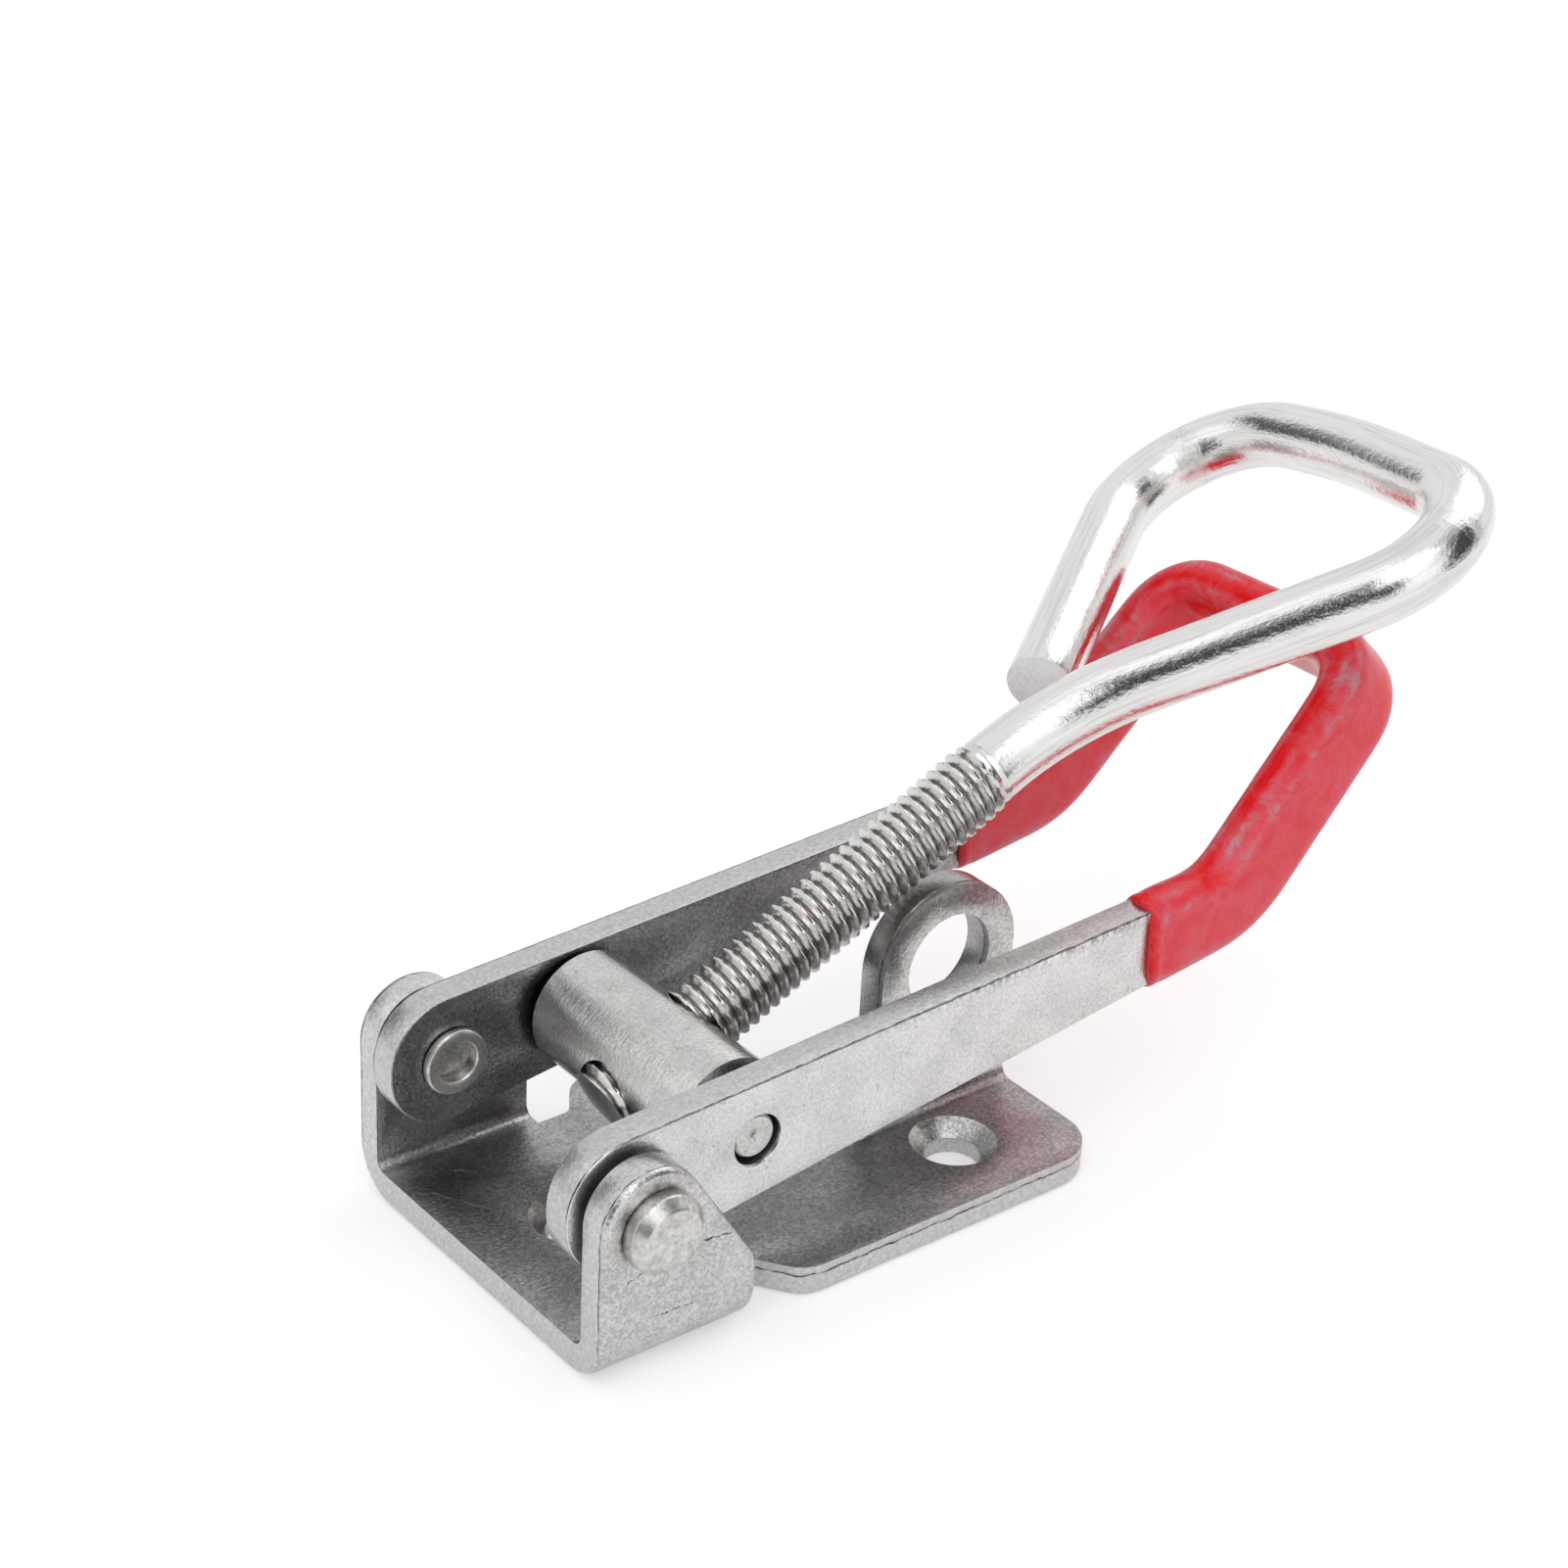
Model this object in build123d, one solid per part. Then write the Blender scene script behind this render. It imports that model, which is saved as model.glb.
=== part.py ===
"""Over centre toggle latch: folded base, U handle with dipped grip, trunnion barrel and threaded hook.

Millimetres, +Z up. The origin lies on the base's underside, below the ears' round tops, on the centre plane.
+X runs from the ears towards the grip, and +Y towards the side away from the padlock tab's screw hole.
"""

import os
from math import asin, atan2, cos, radians, sin, tan

from build123d import *

# ---------------------------------------------------------------- sheet and general values
SHEET = 2.5                 # thickness of the folded base
DIE_ROLL = 0.5              # rounded edge of the sheared sheet, underneath and outside
BAR = 2.5                   # thickness of the handle's flat bar
CUT = 60.0                  # reach of every tool that must pass right through
FAR_CUT = 120.0             # reach of the tool that bounds the whole handle
RUNNING = 0.05              # radial clearance of a pin that turns in its hole

# ---------------------------------------------------------------- handle pivot
PIVOT_HEIGHT = 12.15        # axis above the underside of the base
PIVOT_SETBACK = 0.3         # axis behind the middle of the ears' round tops
RIVET_SHANK_R = 2.0
RIVET_HEAD_R = 3.0
RIVET_RIM_HEIGHT = 1.0      # straight part of the head
RIVET_HEAD_TOP_R = 2.27
RIVET_HEAD_HEIGHT = 1.8
RIVET_CLINCH_R = 2.6        # rolled ring inside the arm
RIVET_CLINCH_HEIGHT = 0.6
RIVET_HOLLOW_R = 1.6        # semi-tubular end
RIVET_HOLLOW_DEPTH = 1.1
CLINCH_GAP = 0.1            # between the rolled ring and the arm

# ---------------------------------------------------------------- base
EAR_INNER_Y = 13.0          # half the width of the channel
EAR_TOP_R = 4.15
EAR_TOP_LIFT = 0.35         # middle of the round top above the pivot
EAR_REAR_X = 9.0            # upright back edge, below the sloping one
EAR_REAR_Z = 6.3            # where the two meet
EAR_CORNER_R = 2.5
BEND_INNER_R = 0.9
BEND_OUTER_R = 4.0          # the fold is thinned a little
PLATE_HALF = 14.8           # half the width of the plate behind the ears
NOTCH_REAR_X = 11.8         # relief notch behind each ear
NOTCH_DEPTH_Y = 11.4
NOTCH_R = 0.95
WING_FRONT_X = 14.2
WING_FRONT_R = 3.0
WING_REAR_X = 42.75
WING_REAR_R = 4.0
FAR_REAR_X = 27.0           # the far half of the plate stops ahead of the tab
FAR_REAR_R = 2.5
HOLE_R = 2.15
HOLE_SINK_R = 3.35
HOLE_FLOOR_X = 4.4
HOLE_WING_X = 33.5
HOLE_WING_Y = -8.0

# ---------------------------------------------------------------- padlock tab
TAB_NEAR_Y = -3.0           # face towards the wing
TAB_FRONT_X = 29.85
TAB_BEND_R = 1.0
TAB_EYE_R = 3.95
TAB_EYE_Z = 14.75

# ---------------------------------------------------------------- handle
ARM_SIDE_GAP = 0.8          # between arm and ear
ARM_END_R = 4.9             # rounded end round the pivot
ARM_END_REACH = 5.2         # end ahead of the pivot
ARM_TOP_RISE = 0.0511       # slope of the arm's top edge
ARM_LOW_RISE = 0.13         # slope of the arm's lower edge
ARM_LOW_DROP = 5.06         # lower edge below the pivot, carried back to the pivot
ARM_TOP_LIFT = 5.17         # upper edge above the pivot, carried back to the pivot
ARM_KINK_X = 59.3           # where the arms turn up
NEAR_ANGLE = 49.3           # slope of the near arm's turned-up end
FAR_ANGLE = 42.3            # the far arm's; the bow is slightly twisted, as formed
GRIP_REACH = 22.8           # from the kink to the outside of the crosspiece
END_WIDTH = 6.9             # width of the bar in the turned-up end
BOW_CORNER_R = 5.5          # outside of the U's corners
BOW_INNER_R = 3.0
KINK_LOW_R = 10.0
KINK_TOP_R = 4.0

# ---------------------------------------------------------------- dipped grip
DIP = 0.7                   # thickness of the dipped skin
DIP_START_X = 47.6
DIP_EDGE = 1.0              # width of the flat that stands for the skin's soft edges

# ---------------------------------------------------------------- trunnion barrel
BARREL_X = 11.1
BARREL_Z = 13.4
BARREL_R = 4.55
BARREL_END_GAP = 0.4        # to each arm
BARREL_CHAMFER = 0.5
JOURNAL_R = 1.7
JOURNAL_EDGE = 0.15
JOURNAL_SHORT = 0.3         # end inside the arm's outer face
JOURNAL_HOLE_R = 2.0        # the journals sit loose in the arms
JOURNAL_OFFSET_X = 0.05     # hole's centre from the journal's, as it hangs
JOURNAL_OFFSET_Z = -0.18

# ---------------------------------------------------------------- hook bolt
ROD_R = 2.65                # plain bar
THREAD_R = 2.95             # crests of the M6 thread, which is rolled on the bar
THREAD_ROOT_R = 2.4
THREAD_PITCH = 1.0
THREAD_RUNOUT = 0.4464       # plain bar between the thread and the loop's first bend
THREAD_SHOWN = 3.8          # first turn drawn, just inside the barrel's skin
TAPPED_R = 3.0              # tapped hole in the barrel, to its roots
STEM_RISE = 25.9            # slope of the stem
HOOK_TWIST = -15.2          # turn of the loop about the stem
STEM_LENGTH = 41.2          # barrel axis to the loop's apex
NEAR_DEPTH = 28.5           # apex to the crossbar's ends, along the stem
FAR_DEPTH = 34.8
NEAR_HALF_ANGLE = 41.2      # of the loop's legs to the stem
FAR_HALF_ANGLE = 37.2
APEX_R = 18.5
NEAR_CORNER_R = 7.5
FAR_CORNER_R = 9.0
LOOP_BOW = 1.9              # outward bow of the crossbar
LOOP_BOW_R = 60.0
RETURN_AHEAD = 1.9          # cut end of the return leg, from the apex along the stem
RETURN_BESIDE = 4.7         # and across it
STAKE_OUT = 0.4             # end of the stem beyond the barrel
STAKE_CHAMFER = 0.25

# ---------------------------------------------------------------- derived values
EAR_OUTER_Y = EAR_INNER_Y + SHEET
ARM_OUTER_Y = EAR_INNER_Y - ARM_SIDE_GAP
ARM_INNER_Y = ARM_OUTER_Y - BAR
FRONT_X = -EAR_TOP_R
PIVOT = (PIVOT_SETBACK, PIVOT_HEIGHT)
EAR_TOP = (0, PIVOT_HEIGHT + EAR_TOP_LIFT)
TAB_FAR_Y = TAB_NEAR_Y + SHEET
TAB_MID_X = (TAB_FRONT_X + WING_REAR_X) / 2
TAB_RING_R = (WING_REAR_X - TAB_FRONT_X) / 2
THREAD_END = STEM_LENGTH - APEX_R * tan(radians(NEAR_HALF_ANGLE) / 2) - THREAD_RUNOUT  # from the barrel's axis
LOW_KINK = (ARM_KINK_X, PIVOT_HEIGHT - ARM_LOW_DROP + ARM_LOW_RISE * (ARM_KINK_X - PIVOT_SETBACK))


def slab_y(face, y_from, y_to):
    """Solid between two Y planes from a face drawn as (X, Z) on the XZ plane."""
    body = extrude(face, amount=y_to - y_from, dir=(0, 1, 0))
    return Pos(0, y_from, 0) * body


def xz_face(points):
    """Closed polygon of (X, Z) points as a face on the XZ plane."""
    return make_face(Polyline(*[(x, 0, z) for x, z in points], close=True))


def disc_y(x, z, radius, y_from, y_to):
    """Cylinder along Y between two planes."""
    low, high = min(y_from, y_to), max(y_from, y_to)
    turned = Rot(-90, 0, 0) * Cylinder(radius, high - low, align=(Align.CENTER, Align.CENTER, Align.MIN))
    return Pos(x, low, z) * turned


def cone_y(x, z, radius_from, radius_to, y_from, y_to):
    """Cone along Y, with radius_from at y_from."""
    length = abs(y_to - y_from)
    cone = Cone(radius_from, radius_to, length, align=(Align.CENTER, Align.CENTER, Align.MIN))
    turned = Rot(-90 if y_to > y_from else 90, 0, 0) * cone
    return Pos(x, y_from, z) * turned


def tangent_point(centre, radius, outside, side):
    """Point where a line from outside touches the circle, on the chosen side."""
    dx, dz = outside[0] - centre[0], outside[1] - centre[1]
    reach = (dx * dx + dz * dz) ** 0.5
    turn = atan2(dz, dx) + side * (radians(90) - asin(radius / reach))
    return (centre[0] + radius * cos(turn), centre[1] + radius * sin(turn))


def on_outside(edge):
    """Whether an edge of the channel lies on the outside of the folded sheet."""
    box = edge.bounding_box()
    inside_y = EAR_INNER_Y + RUNNING
    return box.max.Z < RUNNING or box.min.Y > inside_y or box.max.Y < -inside_y


def make_base():
    """Folded base: channel with two ears, plate behind it and the upright padlock tab."""
    # Channel section across Y, run along X under the ears.
    foot_y = EAR_OUTER_Y - BEND_OUTER_R
    floor_y = EAR_INNER_Y - BEND_INNER_R
    bend_z = SHEET + BEND_INNER_R
    with BuildSketch(Plane.YZ) as section:
        with BuildLine():
            Polyline((-foot_y, 0), (foot_y, 0))
            RadiusArc((foot_y, 0), (EAR_OUTER_Y, BEND_OUTER_R), -BEND_OUTER_R)
            Polyline((EAR_OUTER_Y, BEND_OUTER_R), (EAR_OUTER_Y, CUT), (EAR_INNER_Y, CUT),
                     (EAR_INNER_Y, bend_z))
            RadiusArc((EAR_INNER_Y, bend_z), (floor_y, SHEET), BEND_INNER_R)
            Polyline((floor_y, SHEET), (-floor_y, SHEET))
            RadiusArc((-floor_y, SHEET), (-EAR_INNER_Y, bend_z), BEND_INNER_R)
            Polyline((-EAR_INNER_Y, bend_z), (-EAR_INNER_Y, CUT), (-EAR_OUTER_Y, CUT),
                     (-EAR_OUTER_Y, BEND_OUTER_R))
            RadiusArc((-EAR_OUTER_Y, BEND_OUTER_R), (-foot_y, 0), -BEND_OUTER_R)
        make_face()
    channel = Pos(FRONT_X, 0, 0) * extrude(section.sketch, amount=EAR_REAR_X - FRONT_X)

    # Side view of the ears: upright front, round top, sloping and then upright back edge.
    rear = (EAR_REAR_X, EAR_REAR_Z)
    slope = tangent_point(EAR_TOP, EAR_TOP_R, rear, 1)
    profile = xz_face([
        (FRONT_X, -SHEET), (EAR_REAR_X, -SHEET), rear, slope, EAR_TOP, (FRONT_X, EAR_TOP[1]),
    ])
    corner = profile.vertices().sort_by_distance(Vector(EAR_REAR_X, 0, EAR_REAR_Z))[0]
    profile = fillet(corner, EAR_CORNER_R)
    ears = channel & (slab_y(profile, -CUT, CUT) + disc_y(*EAR_TOP, EAR_TOP_R, -CUT, CUT))
    outside = ears.edges().filter_by(on_outside)
    ears = fillet(outside, DIE_ROLL)

    # Flat plate, seen from above.
    tab_foot = TAB_NEAR_Y - TAB_BEND_R
    front = [(0, NOTCH_DEPTH_Y), (NOTCH_REAR_X, NOTCH_DEPTH_Y), (WING_FRONT_X, PLATE_HALF)]
    step = [(WING_REAR_X, -PLATE_HALF), (WING_REAR_X, tab_foot), (FAR_REAR_X, tab_foot),
            (FAR_REAR_X, PLATE_HALF)]
    plate = make_face(Polyline(*[(x, -y) for x, y in front], *step, *reversed(front), close=True))
    for x, half, radius in (
        (NOTCH_REAR_X, NOTCH_DEPTH_Y, NOTCH_R), (WING_FRONT_X, PLATE_HALF, WING_FRONT_R),
        (WING_REAR_X, PLATE_HALF, WING_REAR_R), (FAR_REAR_X, PLATE_HALF, FAR_REAR_R),
    ):
        corners = plate.vertices().filter_by(lambda v: abs(v.X - x) + abs(abs(v.Y) - half) < RUNNING)
        plate = fillet(corners, radius)
    plate = extrude(plate, amount=SHEET)
    rim = plate.edges().filter_by(lambda e: e.bounding_box().max.Z < RUNNING)
    rim = rim.filter_by(lambda e: e.center().X > EAR_REAR_X and abs(e.center().Y - tab_foot) > RUNNING)
    body = ears + fillet(rim, DIE_ROLL)

    # Padlock tab: bent up from the wing's inner edge, with a round head about its eye.
    with BuildSketch(Plane.YZ) as bend:
        with BuildLine():
            Polyline((tab_foot, 0), (tab_foot, SHEET))
            RadiusArc((tab_foot, SHEET), (TAB_NEAR_Y, SHEET + TAB_BEND_R), -TAB_BEND_R)
            Polyline((TAB_NEAR_Y, SHEET + TAB_BEND_R), (TAB_NEAR_Y, CUT), (TAB_FAR_Y, CUT),
                     (TAB_FAR_Y, SHEET + TAB_BEND_R))
            RadiusArc((TAB_FAR_Y, SHEET + TAB_BEND_R), (tab_foot, 0), TAB_BEND_R + SHEET)
        make_face()
    upright = Pos(TAB_FRONT_X, 0, 0) * extrude(bend.sketch, amount=WING_REAR_X - TAB_FRONT_X)
    outline = xz_face([
        (TAB_FRONT_X, -SHEET), (WING_REAR_X, -SHEET), (WING_REAR_X, TAB_EYE_Z), (TAB_FRONT_X, TAB_EYE_Z)])
    head = slab_y(outline, -CUT, CUT) + disc_y(TAB_MID_X, TAB_EYE_Z, TAB_RING_R, -CUT, CUT)
    tab = (upright & head) - disc_y(TAB_MID_X, TAB_EYE_Z, TAB_EYE_R, -CUT, CUT)
    body = body + tab

    # Countersunk screw holes and the rivet holes through the ears.
    for x, y in ((HOLE_FLOOR_X, 0), (HOLE_WING_X, HOLE_WING_Y)):
        body -= Pos(x, y, SHEET / 2) * Cylinder(HOLE_R, CUT)
        sink_depth = HOLE_SINK_R - HOLE_R
        sink = Cone(HOLE_R, HOLE_SINK_R, sink_depth, align=(Align.CENTER, Align.CENTER, Align.MAX))
        body -= Pos(x, y, SHEET) * sink
    body -= disc_y(*PIVOT, RIVET_SHANK_R, -CUT, CUT)
    return body


def handle_profile(angle):
    """Side view of an arm whose end turns up by an angle.

    The end runs on past the crosspiece, so that bow_block can cut it to length.
    """
    rise = (cos(radians(angle)), sin(radians(angle)))
    low = PIVOT_HEIGHT - ARM_LOW_DROP - ARM_LOW_RISE * PIVOT_SETBACK
    top = PIVOT_HEIGHT + ARM_TOP_LIFT - ARM_TOP_RISE * PIVOT_SETBACK
    end = PIVOT_SETBACK - ARM_END_REACH
    low_kink = LOW_KINK
    # The upper edge of the turned-up end lies one bar width from the lower one.
    upper = (low_kink[0] - rise[1] * END_WIDTH, low_kink[1] + rise[0] * END_WIDTH)
    along = (top + ARM_TOP_RISE * upper[0] - upper[1]) / (rise[1] - ARM_TOP_RISE * rise[0])
    top_kink = (upper[0] + rise[0] * along, upper[1] + rise[1] * along)
    far = GRIP_REACH + CUT
    profile = xz_face([
        (end, low + ARM_LOW_RISE * end), low_kink,
        (low_kink[0] + rise[0] * far, low_kink[1] + rise[1] * far),
        (upper[0] + rise[0] * far, upper[1] + rise[1] * far),
        top_kink, (end, top + ARM_TOP_RISE * end)])
    for corner, radius in ((low_kink, KINK_LOW_R), (top_kink, KINK_TOP_R)):
        spot = Vector(corner[0], 0, corner[1])
        profile = fillet(profile.vertices().sort_by_distance(spot)[0], radius)
    ends = profile.vertices().sort_by(Axis.X)[:2]
    return fillet(ends, ARM_END_R)


def bow_block(reach, half_width, corner_r):
    """Block with two rounded corners that bounds the U seen square to its turned-up end."""
    mean = radians((NEAR_ANGLE + FAR_ANGLE) / 2)
    slope = Plane(origin=(LOW_KINK[0], 0, LOW_KINK[1]), x_dir=(cos(mean), 0, sin(mean)),
                  z_dir=(-sin(mean), 0, cos(mean)))
    outline = make_face(Polyline((-FAR_CUT, -half_width), (reach, -half_width), (reach, half_width),
                                 (-FAR_CUT, half_width), close=True))
    outline = fillet(outline.vertices().sort_by(Axis.X)[-2:], corner_r)
    return slope * extrude(outline, amount=CUT, both=True)


def bent_bar(skin):
    """The U-shaped bar grown on every side by a skin."""
    half = ARM_OUTER_Y + skin
    sides = []
    for angle, y in ((NEAR_ANGLE, -half), (FAR_ANGLE, half)):
        profile = handle_profile(angle)
        side = offset(profile, amount=skin, kind=Kind.INTERSECTION) if skin else profile
        sides.append((Pos(0, y, 0) * side).face())
    block = loft(sides, ruled=True)
    block &= bow_block(GRIP_REACH + skin, half, BOW_CORNER_R + skin)
    return block - bow_block(GRIP_REACH - BAR - skin, ARM_INNER_Y - skin, BOW_INNER_R - skin)


def make_handle():
    """Flat bar bent to a U: two tapering arms that kink upwards into a crosspiece."""
    bar = bent_bar(0)
    bar -= disc_y(*PIVOT, RIVET_SHANK_R + RUNNING, -CUT, CUT)
    bar -= disc_y(BARREL_X + JOURNAL_OFFSET_X, BARREL_Z + JOURNAL_OFFSET_Z, JOURNAL_HOLE_R, -CUT, CUT)
    return bar


def make_grip(handle):
    """Dipped skin over the turned-up end, its soft edges drawn as narrow flats."""
    skin = bent_bar(DIP)
    skin &= Pos(DIP_START_X, 0, 0) * Box(CUT, CUT, FAR_CUT, align=(Align.MIN, Align.CENTER, Align.CENTER))
    return chamfer(skin.edges(), DIP_EDGE) - handle


def make_rivet(side):
    """Semi-tubular rivet through one ear and one arm; side is -1 near the tab's hole, 1 away from it."""
    head_face = side * EAR_OUTER_Y
    rim_end = side * (EAR_OUTER_Y + RIVET_RIM_HEIGHT)
    head_end = side * (EAR_OUTER_Y + RIVET_HEAD_HEIGHT)
    ring_face = side * (ARM_INNER_Y - CLINCH_GAP)
    ring_end = side * (ARM_INNER_Y - CLINCH_GAP - RIVET_CLINCH_HEIGHT)
    rivet = disc_y(*PIVOT, RIVET_SHANK_R, ring_end, head_face)
    rivet += disc_y(*PIVOT, RIVET_HEAD_R, head_face, rim_end)
    rivet += cone_y(*PIVOT, RIVET_HEAD_R, RIVET_HEAD_TOP_R, rim_end, head_end)
    rivet += disc_y(*PIVOT, RIVET_CLINCH_R, ring_face, ring_end)
    return rivet - disc_y(*PIVOT, RIVET_HOLLOW_R, ring_end, ring_end + side * RIVET_HOLLOW_DEPTH)


def stem_plane():
    """Plane at the barrel's axis: X runs up the stem, Y lies across the loop."""
    along = Vector(cos(radians(STEM_RISE)), 0, sin(radians(STEM_RISE)))
    upright = Vector(-along.Z, 0, along.X)
    twist = radians(HOOK_TWIST)
    across = Vector(0, cos(twist), 0) + upright * sin(twist)
    return Plane(origin=(BARREL_X, 0, BARREL_Z), x_dir=along, z_dir=along.cross(across))


def make_barrel():
    """Trunnion barrel with a turned journal at each end and the hook's tapped hole across it."""
    half = ARM_INNER_Y - BARREL_END_GAP
    barrel = disc_y(BARREL_X, BARREL_Z, BARREL_R, -half, half)
    barrel = chamfer(barrel.edges().filter_by(GeomType.CIRCLE), BARREL_CHAMFER)
    end = ARM_OUTER_Y - JOURNAL_SHORT
    journal = disc_y(BARREL_X, BARREL_Z, JOURNAL_R, -end, end)
    journal = chamfer(journal.edges().filter_by(GeomType.CIRCLE), JOURNAL_EDGE)
    barrel += journal
    bore = stem_plane() * (Rot(0, 90, 0) * Cylinder(TAPPED_R, CUT))
    return barrel - bore


def rounded_path(points, radii):
    """Open wire through 2D points, each inner corner rounded by its own radius."""
    parts = []
    last = Vector(*points[0])
    for before, corner, after, radius in zip(points, points[1:], points[2:], radii):
        here = Vector(*corner)
        back = (Vector(*before) - here).normalized()
        ahead = (Vector(*after) - here).normalized()
        half = radians(back.get_angle(ahead)) / 2
        enter = here + back * (radius / tan(half))
        leave = here + ahead * (radius / tan(half))
        middle = here + (back + ahead).normalized() * (radius / sin(half) - radius)
        parts.append(Line(last, enter))
        parts.append(ThreePointArc(enter, middle, leave))
        last = leave
    parts.append(Line(last, Vector(*points[-1])))
    return Wire(parts)


def threaded_stem(start):
    """Threaded end of the bar along X, with each turn that shows beyond the barrel drawn as a ring."""
    outline = [(start, 0), (start, THREAD_R - STAKE_CHAMFER), (start + STAKE_CHAMFER, THREAD_R)]
    turns = int((THREAD_END - THREAD_SHOWN) / THREAD_PITCH)
    for turn in range(turns, 0, -1):
        crest = THREAD_END - turn * THREAD_PITCH
        outline.append((crest, THREAD_R))
        outline.append((crest + THREAD_PITCH / 2, THREAD_ROOT_R))
    outline += [(THREAD_END, ROD_R), (THREAD_END, 0)]
    return revolve(make_face(Polyline(*outline, close=True)), axis=Axis.X)


def make_hook():
    """Round bar: threaded stem, open triangular loop and a cut end beside the loop's apex."""
    near_half = radians(NEAR_HALF_ANGLE)
    far_half = radians(FAR_HALF_ANGLE)
    near = (STEM_LENGTH + NEAR_DEPTH, -NEAR_DEPTH * tan(near_half))
    far = (STEM_LENGTH + FAR_DEPTH, FAR_DEPTH * tan(far_half))
    bow = ((near[0] + far[0]) / 2 + LOOP_BOW, (near[1] + far[1]) / 2)
    tip = (STEM_LENGTH + RETURN_AHEAD, RETURN_BESIDE)
    path = stem_plane() * rounded_path(((THREAD_END, 0), (STEM_LENGTH, 0), near, bow, far, tip),
                                       (APEX_R, NEAR_CORNER_R, LOOP_BOW_R, FAR_CORNER_R))
    rod = sweep(Plane(origin=path @ 0, z_dir=path % 0) * Circle(ROD_R), path=path)
    return rod + stem_plane() * threaded_stem(-BARREL_R - STAKE_OUT)


def main():
    """Write one STEP file for each piece."""
    os.makedirs("parts", exist_ok=True)
    handle = make_handle()
    pieces = {
        "base": make_base(),
        "handle": handle,
        "grip": make_grip(handle),
        "rivet_near": make_rivet(-1),
        "rivet_far": make_rivet(1),
        "barrel": make_barrel(),
        "hook": make_hook(),
    }
    for name, shape in pieces.items():
        export_step(shape, "parts/" + name + ".step")


if __name__ == "__main__":
    main()
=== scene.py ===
"""Over centre toggle latch, dressed: folded base, bar handle, dipped grip, rivets, trunnion and hook bolt.

Sizes are written in millimetres and brought to metres by MM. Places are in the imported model's frame: X runs
from the ears towards the grip, Y across the channel and Z up from the underside of the base.
"""
import logging
import math
from collections.abc import Iterable
from dataclasses import dataclass
from enum import Enum, IntEnum

import bmesh
import bpy
from bmesh.types import BMEdge, BMesh, BMVert
from bpy.types import Material, Node, NodeSocket, NodeTree
from mathutils import Matrix, Vector


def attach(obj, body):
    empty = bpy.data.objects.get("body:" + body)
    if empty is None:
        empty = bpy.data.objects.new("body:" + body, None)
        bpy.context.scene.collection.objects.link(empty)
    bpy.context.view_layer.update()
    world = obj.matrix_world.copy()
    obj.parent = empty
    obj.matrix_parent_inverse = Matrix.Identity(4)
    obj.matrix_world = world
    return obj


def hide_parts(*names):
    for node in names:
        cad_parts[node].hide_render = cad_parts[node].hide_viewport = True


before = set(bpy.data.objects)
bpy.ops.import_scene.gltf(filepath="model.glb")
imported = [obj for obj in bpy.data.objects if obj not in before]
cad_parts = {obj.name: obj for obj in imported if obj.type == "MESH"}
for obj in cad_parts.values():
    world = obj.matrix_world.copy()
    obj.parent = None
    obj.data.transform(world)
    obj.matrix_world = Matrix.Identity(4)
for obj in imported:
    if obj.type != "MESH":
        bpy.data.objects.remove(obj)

MM = 0.001
WELD = 0.001 * MM
Triple = tuple[float, float, float]
Range = tuple[float, float]
Colour = tuple[float, float, float, float]
FALLING = (1.0, 0.0)
log = logging.getLogger("latch")


def linear(colour: str) -> Colour:
    """Turns an sRGB hex colour into linear values with full alpha.

    Args:
        colour: six hex digits, with or without a leading hash.

    Returns:
        Linear red, green and blue from 0 to 1, and an alpha of 1.
    """
    parts = [int(colour.lstrip("#")[i:i + 2], 16) / 255 for i in (0, 2, 4)]
    red, green, blue = (c / 12.92 if c <= 0.04045 else ((c + 0.055) / 1.055) ** 2.4 for c in parts)
    return red, green, blue, 1.0


def grey(value: float) -> Colour:
    """Gives a neutral linear colour with full alpha."""
    return value, value, value, 1.0


def fill(tree: NodeTree, node: Node, inputs: dict) -> None:
    """Links each input that is given a socket, and sets each one that is given a value.

    Args:
        tree: node tree that holds the node.
        node: node whose inputs are filled.
        inputs: values or output sockets, by input name or number.
    """
    for key, value in inputs.items():
        if isinstance(value, NodeSocket):
            tree.links.new(value, node.inputs[key])
        else:
            node.inputs[key].default_value = value


def add_node(tree: NodeTree, kind: str, inputs: dict | None = None, **settings) -> Node:
    """Adds a node, sets its properties and fills its inputs.

    Args:
        tree: node tree that gets the node.
        kind: Blender's name for the node's type.
        inputs: values or output sockets, by input name or number.
        settings: properties of the node itself.

    Returns:
        The new node.
    """
    node = tree.nodes.new(kind)
    for name, value in settings.items():
        setattr(node, name, value)
    fill(tree, node, inputs or {})
    return node


def object_place(tree: NodeTree) -> NodeSocket:
    """Gives the place in the piece's own coordinates, in metres."""
    return add_node(tree, "ShaderNodeTexCoord").outputs["Object"]


def attribute(tree: NodeTree, name: str, output: str = "Fac") -> NodeSocket:
    """Gives a value kept on the mesh, as a number or, with output "Vector", as a vector."""
    return add_node(tree, "ShaderNodeAttribute", attribute_name=name).outputs[output]


def stretched(tree: NodeTree, place: NodeSocket, stretch: Triple) -> NodeSocket:
    """Gives a place with each of its coordinates multiplied by its own factor."""
    return add_node(tree, "ShaderNodeMapping", {"Vector": place, "Scale": stretch}).outputs[0]


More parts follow.
